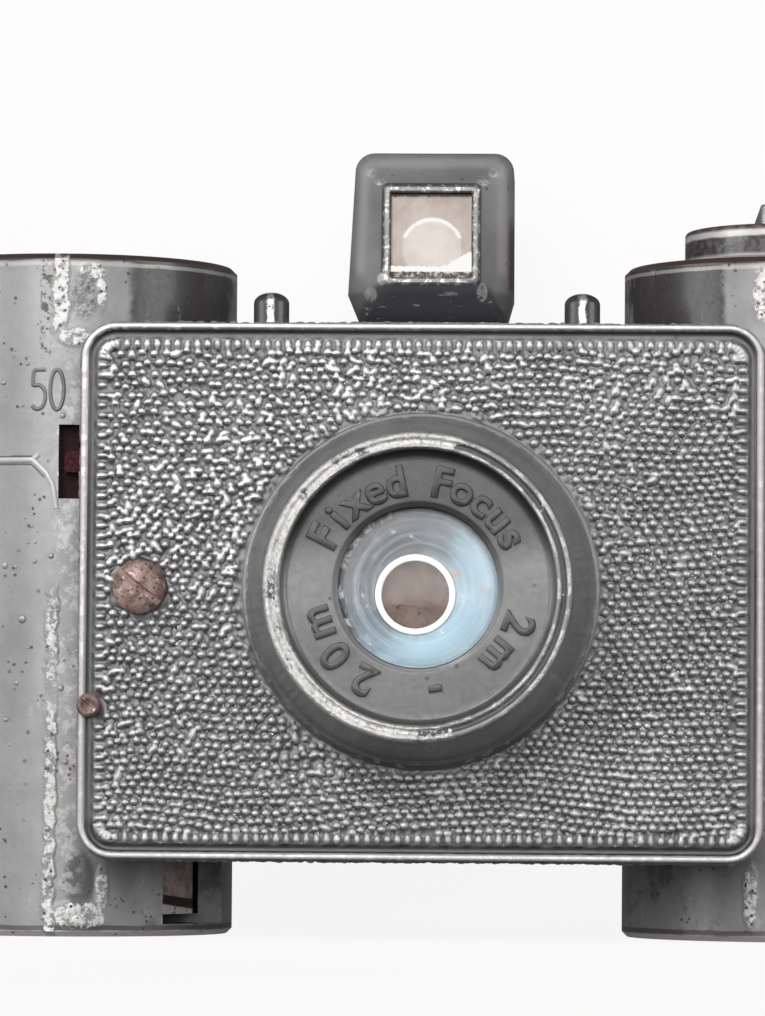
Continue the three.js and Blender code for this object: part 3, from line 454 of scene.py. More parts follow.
def make_lights():
    add_light("key", (-0.06, -0.8, 0.3), 0.75, 7.0)
    add_light("left", (-0.75, -0.35, 0.22), 0.5, 3.4)
    add_light("right", (0.75, -0.35, 0.2), 0.5, 3.2)
    add_light("spark", (-0.28, -0.7, 0.5), 0.06, 1.4)
    add_light("rear", (0.3, 0.9, 0.7), 0.6, 12.0)
    world = bpy.data.worlds.new("room")
    world.use_nodes = True
    tree = world.node_tree
    glow = tree.nodes["Background"]
    path = tree.nodes.new("ShaderNodeLightPath")
    strength = tree.nodes.new("ShaderNodeMapRange")
    strength.inputs[3].default_value = ROOM_GLOW
    strength.inputs[4].default_value = 0.95
    tree.links.new(path.outputs["Is Camera Ray"], strength.inputs[0])
    tree.links.new(strength.outputs[0], glow.inputs["Strength"])
    glow.inputs["Color"].default_value = (1, 0.99, 0.985, 1)
    bpy.context.scene.world = world
    bpy.context.scene.view_settings.view_transform = "Standard"


def make_camera():
    yaw = Matrix.Rotation(math.radians(CAMERA["yaw"]), 3, "Z")
    pitch = Matrix.Rotation(math.radians(CAMERA["pitch"]), 3, "X")
    roll = Matrix.Rotation(math.radians(CAMERA["roll"]), 3, "Y")
    upright = Matrix.Rotation(math.pi / 2, 3, "X")
    data = bpy.data.cameras.new("photo_view")
    data.lens = CAMERA["lens"]
    data.sensor_width = 36
    data.clip_start = 0.01
    camera = bpy.data.objects.new("photo_view", data)
    camera.matrix_world = (yaw @ pitch @ roll @ upright).to_4x4()
    camera.location = Vector(CAMERA["at"]) * MM
    bpy.context.scene.collection.objects.link(camera)
    bpy.context.scene.camera = camera


# Front cover -------------------------------------------------------------------------------------

EDGE_BAND = 1.0
ROW_SHARE = 0.88
PITCH = 0.64
FIELD_HOLE = CONE_R + 0.3
SIDE_SEGMENTS = {"long": 88, "short": 68, "corner": 10}


def outline_stations():
    """(x, z, normal x, normal z, distance) round the cover's rear outline."""
    half = COVER_HIGH.x
    low, high, r = COVER_LOW.z, COVER_HIGH.z, COVER_CORNER
    spots = [(half - r, high - r, 0), (-half + r, high - r, 1), (-half + r, low + r, 2),
             (half - r, low + r, 3)]
    stations, distance = [], 0.0
    for index, (cx, cz, quarter) in enumerate(spots):
        start = quarter * math.pi / 2
        arc = SIDE_SEGMENTS["corner"]
        for k in range(arc):
            a = start + math.pi / 2 * k / arc
            stations.append((cx + r * math.cos(a), cz + r * math.sin(a), math.cos(a), math.sin(a), distance))
            distance += r * math.pi / 2 / arc
        side = SIDE_SEGMENTS["long" if index in (0, 2) else "short"]
        length = (2 * half if index in (0, 2) else high - low) - 2 * r
        nx, nz = math.cos(start + math.pi / 2), math.sin(start + math.pi / 2)
        for k in range(side):
            x, z = cx + r * nx - nz * length * k / side, cz + r * nz + nx * length * k / side
            stations.append((x, z, nx, nz, distance))
            distance += length / side
    return stations, distance


STATIONS, ROUND = outline_stations()


def outline_loop(inset, y):
    return [(x - nx * inset, y, z - nz * inset) for x, z, nx, nz, _ in STATIONS]


def outline_at(s, inset):
    """The point and normal at a distance along the outline, in the cover's plane."""
    s %= ROUND
    low, high = 0, len(STATIONS)
    while high - low > 1:
        middle = (low + high) // 2
        if STATIONS[middle][4] <= s:
            low = middle
        else:
            high = middle
    x0, z0, nx0, nz0, d0 = STATIONS[low]
    x1, z1, nx1, nz1, d1 = STATIONS[(low + 1) % len(STATIONS)]
    t = (s - d0) / ((d1 if d1 > d0 else ROUND) - d0)
    nx, nz = nx0 + (nx1 - nx0) * t, nz0 + (nz1 - nz0) * t
    return x0 + (x1 - x0) * t - nx * inset, z0 + (z1 - z0) * t - nz * inset, nx, nz


class Bumps:
    """A scatter of pebbles on a plane: each has a centre, half sizes, a heading and a height."""

    def __init__(self):
        self.items = []
        self.grid = {}

    def add(self, u, v, a, b, turn, height):
        self.grid.setdefault((int(u // 1), int(v // 1)), []).append(len(self.items))
        self.items.append((u, v, a, b, math.cos(turn), math.sin(turn), height))

    def height(self, u, v):
        """A rounded dome over each pebble; where two overlap, the higher shows."""
        best = 0.0
        for i in range(int(u // 1) - 1, int(u // 1) + 2):
            for j in range(int(v // 1) - 1, int(v // 1) + 2):
                for index in self.grid.get((i, j), ()):
                    cu, cv, a, b, c, s, h = self.items[index]
                    p, q = u - cu, v - cv
                    d = ((p * c + q * s) / a) ** 2 + ((q * c - p * s) / b) ** 2
                    if d < 1:
                        best = max(best, h * math.sqrt(1 - d))
        return best

    def samples(self, rings):
        """Points that describe each pebble: its top and rings of (share of its size, count)."""
        out = []
        for u, v, a, b, c, s, _ in self.items:
            out.append((u, v))
            for share, count in rings:
                for k in range(count):
                    t = TURN * (k + 0.5 * (count % 4 > 0)) / count
                    p, q = a * share * math.cos(t), b * share * math.sin(t)
                    out.append((u + p * c - q * s, v + p * s + q * c))
        return out


def triangulated(points, edges, keep):
    """Delaunay triangles of plane points, with the edges kept and only the triangles whose middle passes."""
    out = delaunay_2d_cdt([Vector(p) for p in points], edges, [], 0, 1e-5)
    verts, faces = out[0], out[2]
    kept = []
    for face in faces:
        u = sum(verts[i].x for i in face) / 3
        v = sum(verts[i].y for i in face) / 3
        if keep(u, v):
            kept.append(tuple(face))
    return [tuple(v) for v in verts], kept


def closed_edges(start, count):
    return [(start + k, start + (k + 1) % count) for k in range(count)]


def inside_outline(x, z, inset):
    half, r = COVER_HIGH.x - inset, max(COVER_CORNER - inset, 0.01)
    middle, tall = (COVER_LOW.z + COVER_HIGH.z) / 2, (COVER_HIGH.z - COVER_LOW.z) / 2 - inset
    p, q = abs(x) - (half - r), abs(z - middle) - (tall - r)
    if p <= 0 or q <= 0:
        return p < r and q < r
    return math.hypot(p, q) < r


def smooth(t):
    t = min(max(t, 0.0), 1.0)
    return t * t * (3 - 2 * t)


def field_bumps(rng):
    """Pebbles in loose rows that bend a little, wilder and more joined towards the upper left."""
    bumps = Bumps()
    inset = DRAFT + EDGE_BAND
    low, high = COVER_LOW.z, COVER_HIGH.z
    rows = int((high - low) / (PITCH * ROW_SHARE)) + 4
    columns = int(2 * COVER_HIGH.x / PITCH) + 6
    for row in range(-2, rows):
        for column in range(-3, columns):
            x = -COVER_HIGH.x + (column + 0.5 * (row % 2)) * PITCH
            z = low + row * PITCH * ROW_SHARE
            swirl = noise.noise_vector(Vector((x * 0.09, z * 0.09, 3.0)))
            gust = noise.noise(Vector((x * 0.2, z * 0.2, 9.0)))
            wild = smooth(0.45 - 0.018 * x + 0.022 * (z - AXIS_Z) + 0.8 * gust)
            x += swirl.x * 1.3 + rng.uniform(-1, 1) * (0.06 + 0.1 * wild)
            z += swirl.y * 1.3 + rng.uniform(-1, 1) * (0.06 + 0.1 * wild)
            size = rng.uniform(0.24, 0.3)
            long = 1 + (rng.random() < 0.06 + 0.2 * wild) * rng.uniform(0.2, 0.7)
            turn = rng.uniform(-0.5, 0.5) if wild < 0.5 else rng.uniform(0, math.pi)
            tall = rng.uniform(0.16, 0.23)
            fade = smooth((math.hypot(x, z - AXIS_Z) - FIELD_HOLE + 0.1) / 0.7)
            clear = math.dist((x, z), SCREW_AT) > SCREW_R + 0.2 and math.dist((x, z), PIN_AT) > PIN_R + 0.15
            if fade < 0.15 or not clear or not inside_outline(x, z, inset + 0.72):
                continue
            bumps.add(x, z, size * long, size, turn, tall * fade)
    for x, z, nx, nz, s in border_stations(inset + 0.36, 0.66):
        if math.dist((x, z), PIN_AT) > PIN_R + 0.3:
            long = rng.uniform(0.34, 0.52)
            bumps.add(x, z, long, rng.uniform(0.2, 0.26), math.atan2(nz, nx), rng.uniform(0.14, 0.2))
    return bumps


def border_stations(inset, step):
    """Evenly spaced points round the outline at an inset."""
    count = round(ROUND / step)
    for k in range(count):
        s = ROUND * k / count
        yield (*outline_at(s, inset), s)


def pebbled_field(rng):
    """The face inside the cover's raised edge, from that edge's foot to the foot of the lens cone."""
    bumps = field_bumps(rng)
    inset = DRAFT + EDGE_BAND
    outer = [(x, z) for x, _, z in outline_loop(inset, 0)]
    inner = [(x, z) for x, _, z in turned_y([(FIELD_HOLE, 0)])[0]]
    samples = [p for p in bumps.samples(((0.55, 6), (0.95, 8), (1.06, 7)))
               if inside_outline(*p, inset + 0.08) and math.hypot(p[0], p[1] - AXIS_Z) > FIELD_HOLE + 0.1]
    points = outer + inner + samples
    edges = closed_edges(0, len(outer)) + closed_edges(len(outer), len(inner))

    def keep(x, z):
        return inside_outline(x, z, inset) and math.hypot(x, z - AXIS_Z) > FIELD_HOLE

    flat, faces = triangulated(points, edges, keep)
    lifted = []
    for x, z in flat:
        on_border = not inside_outline(x, z, inset + 0.02) or math.hypot(x, z - AXIS_Z) < FIELD_HOLE + 0.02
        rise = 0.0 if on_border else bumps.height(x, z) + 0.02 * noise.noise(Vector((x, z, 0.0)))
        lifted.append((x, FIELD_Y - rise, z))
    return lifted, faces


def wall_bumps(rng, depth):
    bumps = Bumps()
    pitch = PITCH * 1.12
    across = round(ROUND / pitch)
    down = int(depth / (pitch * 0.86))
    for row in range(down):
        for column in range(across):
            s = (column + 0.5 * (row % 2) + rng.uniform(-0.14, 0.14)) * ROUND / across
            t = 0.55 + (row + rng.uniform(-0.14, 0.14)) * pitch * 0.86
            size = rng.uniform(0.26, 0.34)
            if t < depth - 0.35:
                long, turn, tall = rng.uniform(1, 1.5), rng.uniform(-0.6, 0.6), rng.uniform(0.12, 0.22)
                bumps.add(s, t, size * long, size, turn, tall)
    return bumps


def pebbled_wall(rng, front_y):
    """The four drafted sides, unrolled as distance along the outline by depth, from the front edge back."""
    depth = REAR_Y - front_y
    bumps = wall_bumps(rng, depth)
    stops = [s[4] for s in STATIONS] + [ROUND]
    front = [(s, 0.0) for s in stops]
    rear = [(s, depth) for s in stops]
    steps = [depth * k / 14 for k in range(1, 14)]
    ends = [(0.0, t) for t in steps] + [(ROUND, t) for t in steps]
    samples = [p for p in bumps.samples(((0.55, 6), (1.0, 7)))
               if 0.12 < p[0] < ROUND - 0.12 and 0.1 < p[1] < depth - 0.1]
    points = front + rear + ends + samples
    flat, faces = triangulated(points, [], lambda s, t: True)
    placed = []
    for s, t in flat:
        quiet = min(s, ROUND - s) < 0.05 or t < 0.02 or t > depth - 0.02
        rise = 0.0 if quiet else bumps.height(s, t)
        x, z, nx, nz = outline_at(s, DRAFT * (1 - t / depth))
        placed.append((x + nx * rise, front_y + t, z + nz * rise))
    return placed, faces


def ring_faces(rings):
    """The quads of a loft without its caps."""
    points, faces = loft(rings)
    return points, faces[:-2]


def cover_inside():
    """The cover's rear edge, its hollow and the back of its face, down to the hole behind the cone."""
    plate_back = EDGE_Y + 1.6
    rings = [outline_loop(0.0, REAR_Y), outline_loop(0.15, REAR_Y), outline_loop(WALL, REAR_Y),
             outline_loop(WALL, plate_back)]
    outer = [(x, z) for x, _, z in outline_loop(WALL, 0)]
    hole = CONE_R - 1.4
    inner = [(x, z) for x, _, z in turned_y([(hole, 0)])[0]]
    edges = closed_edges(0, len(outer)) + closed_edges(len(outer), len(inner))

    def keep(x, z):
        return inside_outline(x, z, WALL) and math.hypot(x, z - AXIS_Z) > hole

    flat, faces = triangulated(outer + inner, edges, keep)
    return joined(ring_faces(rings), ([(x, plate_back, z) for x, z in flat], faces))


def raised_edge(front_y):
    """The thin raised line round the face and the hollow fillet inside it."""
    steps = [(0.0, front_y), (0.04, EDGE_Y + 0.04), (0.1, EDGE_Y), (0.34, EDGE_Y), (0.4, EDGE_Y + 0.05),
             (0.48, EDGE_Y + 0.24), (0.6, EDGE_Y + 0.34), (0.8, EDGE_Y + 0.33), (EDGE_BAND, FIELD_Y)]
    return ring_faces([outline_loop(DRAFT + inset, y) for inset, y in steps])


def mount_profile():
    """(radius, y) from the cone's foot up to the rim, down to the lettered floor and round the inside."""
    outside = [(FIELD_HOLE, FIELD_Y), (CONE_R + 0.12, FIELD_Y - 0.16), (CONE_R - 0.3, FIELD_Y - 0.9),
               (RIM_R + 0.13, RIM_Y + 1.0), (RIM_R + 0.05, RIM_Y + 0.42), (RIM_R - 0.02, RIM_Y + 0.2),
               (RIM_R - 0.14, RIM_Y + 0.03), (RIM_R - 0.3, RIM_Y), (RIM_R - 0.42, RIM_Y + 0.1),
               (RIM_R - 0.52, RIM_Y + 0.2), (RIM_R - 0.72, RIM_Y + 0.18), (RIM_R - 0.84, RIM_Y + 0.02),
               (RIM_R - 0.98, RIM_Y + 0.06), (8.72, FLOOR_Y - 0.25), (8.5, FLOOR_Y - 0.03), (8.2, FLOOR_Y),
               (5.5, FLOOR_Y), (5.36, FLOOR_Y + 0.06), (5.2, FLOOR_Y + 0.1), (5.15, FLOOR_Y + 0.2)]
    inside = [(5.15, FLOOR_Y + 0.4), (5.5, FLOOR_Y + 0.4), (5.5, RIM_Y + 3.5), (6.9, RIM_Y + 3.5),
              (6.9, FLOOR_Y + WALL), (RIM_R - 1.4, FLOOR_Y + WALL), (CONE_R - 1.4, FIELD_Y + 0.6),
              (CONE_R - 1.4, EDGE_Y + 1.6)]
    return eased(outside, 0.12, 3) + inside


def make_cover():
    rng = random.Random(7)
    front_y = EDGE_Y + 0.16
    parts = (pebbled_field(rng), raised_edge(front_y), pebbled_wall(rng, front_y), cover_inside(),
             ring_faces(turned_y(mount_profile())))
    points, faces = joined(*parts)
    add_piece("cover_shell", points, faces, cover_enamel(), "camera_body", ["front_cover"], sharp=55)


def rim_wear(f, x, y, z):
    """Bare metal on the lens rim: broad and ragged at the left and foot, two thin lines at the right."""
    radius = f.radius(x, z, (0, AXIS_Z))
    chips = f.plus(f.noise(0.8, 3, shift=(5, 0, 5)), f.noise(2.6, 5, rough=0.75), 0.55)
    lopsided = f.plus(f.math("MULTIPLY", x, -1.0), f.math("SUBTRACT", z, AXIS_Z), -0.35)
    left = f.ramp(f.plus(lopsided, f.noise(0.15, 3), 6.0), -3.0, 9.0)
    crown = f.near((-1.0, RIM_Y, AXIS_Z + RIM_R), (6.0, 3, 2.2), 0.5)
    broad = f.band(radius, RIM_R - 1.1, RIM_R + 0.02, 0.06)
    worn = f.both(broad, f.ramp(f.plus(chips, f.either(left, crown), 0.34), 0.96, 1.02))
    inner_line = f.band(radius, RIM_R - 0.98, RIM_R - 0.76, 0.05)
    outer_line = f.band(radius, RIM_R - 0.34, RIM_R - 0.1, 0.05)
    thin = f.both(f.either(inner_line, outer_line), f.ramp(chips, 0.72, 0.86))
    near_top = f.ramp(y, RIM_Y + 0.8, RIM_Y + 0.5)
    f.bump(f.both(near_top, broad, chips), 0.3)
    return f.both(near_top, f.either(worn, thin), f.ramp(f.noise(3.4, 5, rough=0.75), 0.36, 0.5, 0.35, 1.0))


def cover_wear(f):
    x, y, z = f.axes()
    tops = f.both(f.ramp(y, FIELD_Y - 0.08, FIELD_Y - 0.16), f.ramp(y, EDGE_Y - 0.3, EDGE_Y - 0.1))
    corner = f.near((-COVER_HIGH.x + 5, FIELD_Y, COVER_HIGH.z - 9), (13, 9, 17), 0.9)
    patch = f.ramp(f.noise(1.3, 3, shift=(1, 8, 2)), 0.52, 0.66)
    tops = f.both(tops, f.plus(0.35, corner, 0.65), patch)
    return f.either(tops, rim_wear(f, x, y, z))


def cover_shade(f, base):
    """Painted shade between the pebbles and on their lower sides with painted highlights on their tops, a
    pale line of painted highlight round the edge with painted shade in the groove inside it, a floor under
    the lettering that is darker at its foot and darkest at its top under a painted shadow of the rim, with
    painted shade round the letters, a darker cone and painted shade in the rim's groove."""
    x, y, z = f.axes()
    _, _, up = f.facing()
    on_face = f.band(y, FIELD_Y - 0.34, FIELD_Y + 0.1, 0.04)
    high_left = f.ramp(f.plus(f.math("MULTIPLY", x, -0.6), f.math("SUBTRACT", z, AXIS_Z)), -6, 22)
    height = f.math("SUBTRACT", FIELD_Y, y)
    # Painted shade between the pebbles, deeper towards the upper left.
    base = f.dim(f.both(on_face, f.ramp(height, 0.11, 0.05)), base, f.blend(high_left, 0.4, 0.34))
    # Painted shade on the pebbles' downward-facing sides.
    base = f.dim(f.both(on_face, f.ramp(up, -0.1, -0.5)), base, 0.5)
    # Painted highlights on the pebbles' upward-facing tops, stronger towards the upper left.
    tops = f.both(on_face, f.ramp(height, 0.11, 0.17), f.ramp(up, -0.25, 0.0))
    base = f.mix(f.math("MULTIPLY", tops, f.blend(high_left, 0.3, 0.8)), base, (0.7, 0.68, 0.67))

    wobble = f.math("MULTIPLY", f.math("SUBTRACT", f.noise(1.4, 3, shift=(2, 9, 2)), 0.5), 0.22)
    inset = f.inset(x, z, COVER_HIGH.x - DRAFT, COVER_LOW.z + DRAFT, COVER_HIGH.z - DRAFT, COVER_CORNER)
    inset = f.math("ADD", inset, wobble)
    at_front = f.ramp(y, FIELD_Y + 0.5, FIELD_Y + 0.2)
    ends = f.ramp(f.math("ABSOLUTE", f.math("SUBTRACT", z, (COVER_LOW.z + COVER_HIGH.z) / 2)), 15.2, 16.4)
    # Painted shade in the hollow fillet inside the raised edge, darkest along the bottom.
    groove = f.both(at_front, f.band(inset, 0.48, 1.0, 0.06))
    base = f.dim(groove, base, f.blend(f.ramp(z, COVER_LOW.z + 3, COVER_LOW.z + 2), 0.55, 0.2))
    # A pale line along the raised edge's outer corner: painted highlight, weaker at the top and bottom ends.
    line = f.both(at_front, f.ramp(inset, 0.44, 0.36), f.ramp(f.noise(2.2, 4, rough=0.7), 0.3, 0.5))
    base = f.mix(f.math("MULTIPLY", line, f.blend(ends, 0.7, 0.2)), base, (0.38, 0.34, 0.34))

    radius = f.radius(x, z, (0, AXIS_Z))
    on_floor = f.both(f.ramp(radius, 8.95, 8.8), f.ramp(y, FLOOR_Y + 0.8, FLOOR_Y + 0.4))
    height = f.plus(f.math("SUBTRACT", z, AXIS_Z), f.noise(0.4, 3), 3.0)
    # Lettered floor: darkest at the top under a painted shadow of the rim, darker towards the foot, darker
    # all over, and painted shade round the letters.
    base = f.dim(f.both(on_floor, f.ramp(height, 2.6, 6.0)), base, 0.3)
    base = f.dim(f.both(on_floor, f.ramp(height, 0.5, -3.5)), base, 0.62)
    base = f.dim(on_floor, base, 0.47)
    base = f.dim(f.both(on_floor, f.crevice(0.5)), base, 0.3)
    # The cone's outside is darker, and the groove between the rim's two ridges has painted shade.
    cone = f.both(f.ramp(radius, RIM_R - 0.1, RIM_R + 0.05), f.ramp(y, FIELD_Y, FIELD_Y - 0.3),
                  f.ramp(radius, CONE_R + 0.6, CONE_R + 0.3))
    groove = f.both(f.band(radius, RIM_R - 0.76, RIM_R - 0.36, 0.06), f.ramp(y, RIM_Y + 0.8, RIM_Y + 0.5))
    return f.dim(groove, f.dim(cone, base, 0.55), 0.25)


def cover_enamel():
    return enamel("cover_enamel", 0.95, edge=0.14, wear=0.25, extra=cover_wear, shade=cover_shade)


# Lens, stop and lettering ------------------------------------------------------------------------

def clear_glass(name, tint=(1, 1, 1), haze=0.0, haze_colour=(0.8, 0.75, 0.7)):
    """Thin glass: it lets light straight through and reflects a little, with an optional haze."""
    f = Finish(name)
    smear = f.ramp(f.noise(0.9, 4, rough=0.6), 0.3, 0.75)
    through = f.node("BsdfTransparent", {"Color": tint})
    shine = f.node("BsdfGlossy", {"Roughness": f.blend(smear, 0.04, 0.14)})
    fresnel = f.node("Fresnel", {"IOR": 1.3}).outputs[0]
    clear = f.node("MixShader", {0: fresnel, 1: through.outputs[0], 2: shine.outputs[0]})
    fog = f.node("BsdfDiffuse", {"Color": haze_colour})
    hazy = f.node("MixShader", {0: f.math("MULTIPLY", smear, haze), 1: clear.outputs[0], 2: fog.outputs[0]})
    f.feed(f.out.inputs["Surface"], hazy.outputs[0])
    return f


def blued_metal():
    """The stop's face: pale blue, greyer at the upper left, with painted concentric highlights and a few
    rusty specks.
    """
    f = Finish("blued_stop")
    x, _, z = f.axes()
    across = f.math("MULTIPLY", f.math("ADD", x, f.math("SUBTRACT", AXIS_Z, z)), 0.09)
    cloud = f.noise(0.35, 4, shift=(2, 5, 1))
    side = f.ramp(f.math("ADD", across, f.math("MULTIPLY", cloud, 0.8)), 0.0, 0.75)
    base = f.mix(side, (0.05, 0.057, 0.072), (0.29, 0.44, 0.53))
    radius = f.radius(x, z, (0, AXIS_Z))
    # Pale concentric streaks: painted highlights.
    turned = f.node("CombineXYZ", {0: f.math("MULTIPLY", radius, 2.4), 1: f.math("ARCTAN2", x, z)}).outputs[0]
    rings = f.node("TexNoise", {"Vector": turned, "Scale": 1.6, "Detail": 4}).outputs[0]
    base = f.mix(f.ramp(rings, 0.45, 0.75, 0, 0.45), base, (0.62, 0.7, 0.76))
    chips = f.ramp(f.noise(1.5, 4, shift=(4, 0, 4), rough=0.7), 0.5, 0.58)
    chipped = f.both(f.ramp(radius, 4.75, 4.95), f.ramp(x, -1.0, -3.0), chips)
    base = f.mix(chipped, base, (0.8, 0.82, 0.84))
    fleck = f.ramp(f.noise(1.6, 5, shift=(7, 1, 3), rough=0.7), 0.62, 0.74)
    base = f.mix(fleck, base, (0.66, 0.74, 0.8))
    speckled = f.ramp(f.noise(1.3, 4, shift=(1, 1, 9), rough=0.75), 0.56, 0.66)
    rust = f.both(speckled, f.near((3.6, LENS_HIGH.y, AXIS_Z + 1.5), (2.4, 4, 3.6)))
    base = f.mix(rust, base, (0.5, 0.3, 0.24))
    f.set(Base_Color=base, Metallic=0.15, Roughness=0.35)
    f.bump(cloud, 0.05)
    return f.material


def bright_ring():
    f = Finish("bright_ring")
    f.set(Base_Color=f.mix(f.ramp(f.noise(1.2, 3), 0.35, 0.65), (0.82, 0.8, 0.8), (0.98, 0.97, 0.97)))
    # It also glows a little: a painted glow that keeps the ring near white, though it is no lamp.
    f.set(Metallic=0.1, Roughness=0.25, Emission_Color=(1, 0.98, 0.98, 1), Emission_Strength=0.35)
    return f.material


def tan_metal():
    """The blade seen through the stop: a dull brownish grey with soft blotches, glowing a little as painted
    light.
    """
    f = Finish("tan_blade")
    cloud = f.ramp(f.noise(0.9, 5, rough=0.65), 0.3, 0.7)
    spots = f.ramp(f.noise(2.6, 3, shift=(3, 3, 3)), 0.62, 0.72)
    base = f.mix(spots, f.mix(cloud, (0.1, 0.068, 0.054), (0.18, 0.128, 0.104)), (0.06, 0.034, 0.026))
    # The glow is painted light on the blade.
    f.set(Base_Color=base, Metallic=0.1, Roughness=0.75, Emission_Color=base, Emission_Strength=0.2)
    return f.material


# How far the eyelet sits off the lens axis, across and up.
STOP_SHIFT = (-0.22, -0.4)


def make_lens():
    y0, y1 = LENS_LOW.y, LENS_HIGH.y
    r = LENS_HIGH.x
    front = [(r * k / 12, y0 + 0.38 * (k / 12) ** 2) for k in range(1, 13)]
    rear = [(r, y1), (4.3, y1), (2.2, y1 - 0.22), (0.4, y1 - 0.3)]
    points, faces = loft(turned_y(front + rear, 96))
    add_piece("front_lens", points, faces, clear_glass("lens_glass", haze=0.05).material, "camera_body",
              ["lens_element"])
    inner, outer = EYELET_HIGH.x + 0.05, STOP_HIGH.x
    dish = [(inner, STOP_LOW.y), (3.4, STOP_LOW.y - 0.03), (3.5, STOP_LOW.y - 0.06), (4.6, STOP_LOW.y - 0.02),
            (outer - 0.08, STOP_LOW.y), (outer, STOP_LOW.y + 0.06), (outer, STOP_HIGH.y),
            (inner, STOP_HIGH.y)]
    rings = []
    for radius, y in dish:
        share = (outer - radius) / (outer - inner)
        centre = (STOP_SHIFT[0] * share, AXIS_Z + STOP_SHIFT[1] * share)
        rings += turned_y([(radius, y)], 128, centre)
    points, faces = loft(rings, loop=True)
    add_piece("stop_plate", points, faces, blued_metal(), "camera_body", ["aperture_stop"])
    low, high = EYELET_LOW.y, EYELET_HIGH.y
    hole, r = 2.19, EYELET_HIGH.x
    lip = eased([(hole, high), (hole, low), (r, low), (r, high)], 0.16, 5)
    points, faces = loft(turned_y(lip, 96, (STOP_SHIFT[0], AXIS_Z + STOP_SHIFT[1])), loop=True)
    add_piece("stop_ring", points, faces, bright_ring(), "camera_body", ["stop_eyelet"])


TOP_TEXT = "Fixed Focus"
LOW_TEXT = "2m - 20m"
LETTER = {"size": 2.75, "foot": 5.95, "rise": 0.42, "bold": 0.04}


def glyph_mesh(letter):
    """One raised letter in millimetres: x across, y up from its foot, z out of the floor."""
    curve = bpy.data.curves.new("glyph", "FONT")
    curve.body = letter
    curve.size = LETTER["size"]
    curve.extrude = LETTER["rise"] / 2
    curve.offset = LETTER["bold"]
    curve.bevel_depth = 0.06
    curve.bevel_resolution = 2
    curve.resolution_u = 6
    curve.align_x = "CENTER"
    holder = bpy.data.objects.new("glyph", curve)
    bpy.context.scene.collection.objects.link(holder)
    bpy.context.view_layer.update()
    mesh = holder.evaluated_get(bpy.context.evaluated_depsgraph_get()).to_mesh()
    points = [tuple(v.co) for v in mesh.vertices]
    faces = [tuple(p.vertices) for p in mesh.polygons]
    bpy.data.objects.remove(holder)
    bpy.data.curves.remove(curve)
    return points, faces


def lettered_arc(text, first, last):
    """Letters round the lens axis, feet towards it, between two clockwise angles from the top."""
    parts = []
    for index, letter in enumerate(text):
        if letter == " ":
            continue
        points, faces = glyph_mesh(letter)
        angle = math.radians(first + (last - first) * index / (len(text) - 1))
        placed = []
        for across, up, out in points:
            r = LETTER["foot"] + up
            placed.append((across * math.cos(angle) + r * math.sin(angle), FLOOR_Y - out,
                           AXIS_Z - across * math.sin(angle) + r * math.cos(angle)))
        parts.append((placed, faces))
    return joined(*parts)


def letter_shade(f, base):
    """Painted shade: letters are darkest at their feet, and darker at the top of the floor than at its sides,
    as under the floor's painted shadow of the rim.
    """
    _, y, z = f.axes()
    base = f.dim(f.ramp(y, FLOOR_Y - 0.3, FLOOR_Y - 0.1), base, 0.25)
    return f.dim(f.ramp(z, AXIS_Z + 2, AXIS_Z + 6), base, 0.5)


def make_lettering():
    points, faces = joined(lettered_arc(TOP_TEXT, -62, 62), lettered_arc(LOW_TEXT, 110, 250))
    finish = enamel("letter_enamel", 0.13, edge=0.07, wear=0.6, shade=letter_shade)
    add_piece("mount_lettering", points, faces, finish, "camera_body")


# Finder ------------------------------------------------------------------------------------------

ARC = 7
WINDOW_HALF = GLASS_HIGH.x + 0.05
WINDOW_Z = (GLASS_LOW.z - 0.05, GLASS_HIGH.z + 0.05)
FINDER_FRAME = 0.4
HOOD_Y = FINDER_LOW.y + 2.5
HOOD_LEFT = {"top": 5.44, "low": 5.9, "neck": 4.95}
HOOD_RIGHT = {"top": 5.72, "low": 5.74, "neck": 5.1}
HOOD_Z = {"chamfer": 44.6, "low": 42.3}
EYE_Z = (EYE_LOW.z + EYE_HIGH.z) / 2
EYE_R = EYE_HIGH.x + 0.04


def with_sides(spots, y, side=10):
    """A closed loop through four corner runs, with extra points on the straight stretches between them."""
    loop = []
    for index, run in enumerate(spots):
        loop += run
        (x0, z0), (x1, z1) = run[-1], spots[(index + 1) % len(spots)][0]
        loop += [(x0 + (x1 - x0) * k / side, z0 + (z1 - z0) * k / side) for k in range(1, side)]
    return [(x, y, z) for x, z in loop]


def corner_run(cx, cz, r, start):
    angles = [start + math.pi / 2 * k / ARC for k in range(ARC + 1)]
    return [(cx + r * math.cos(a), cz + r * math.sin(a)) for a in angles]


def straight_run(a, b):
    return [(a[0] + (b[0] - a[0]) * k / ARC, a[1] + (b[1] - a[1]) * k / ARC) for k in range(ARC + 1)]


def boxed(half, z0, z1, r, y):
    spots = [corner_run(half - r, z1 - r, r, 0), corner_run(-half + r, z1 - r, r, math.pi / 2),
             corner_run(-half + r, z0 + r, r, math.pi), corner_run(half - r, z0 + r, r, 1.5 * math.pi)]
    return with_sides(spots, y)


def hood_loop(inset, y):
    left = {k: v - inset for k, v in HOOD_LEFT.items()}
    right = {k: v - inset for k, v in HOOD_RIGHT.items()}
    z1, r = FINDER_HIGH.z - inset, 1.35
    z_side, z_low = HOOD_Z["chamfer"], HOOD_Z["low"] + inset
    spots = [corner_run(right["top"] - r, z1 - r, r, 0),
             corner_run(-left["top"] + r, z1 - r, r, math.pi / 2),
             straight_run((-left["low"], z_side), (-left["neck"], z_low)),
             straight_run((right["neck"], z_low), (right["low"], z_side))]
    return with_sides(spots, y)


def between(a, b, t):
    return [tuple(Vector(p).lerp(Vector(q), t)) for p, q in zip(a, b)]


def at_depth(loop, y):
    return [(x, y, z) for x, _, z in loop]


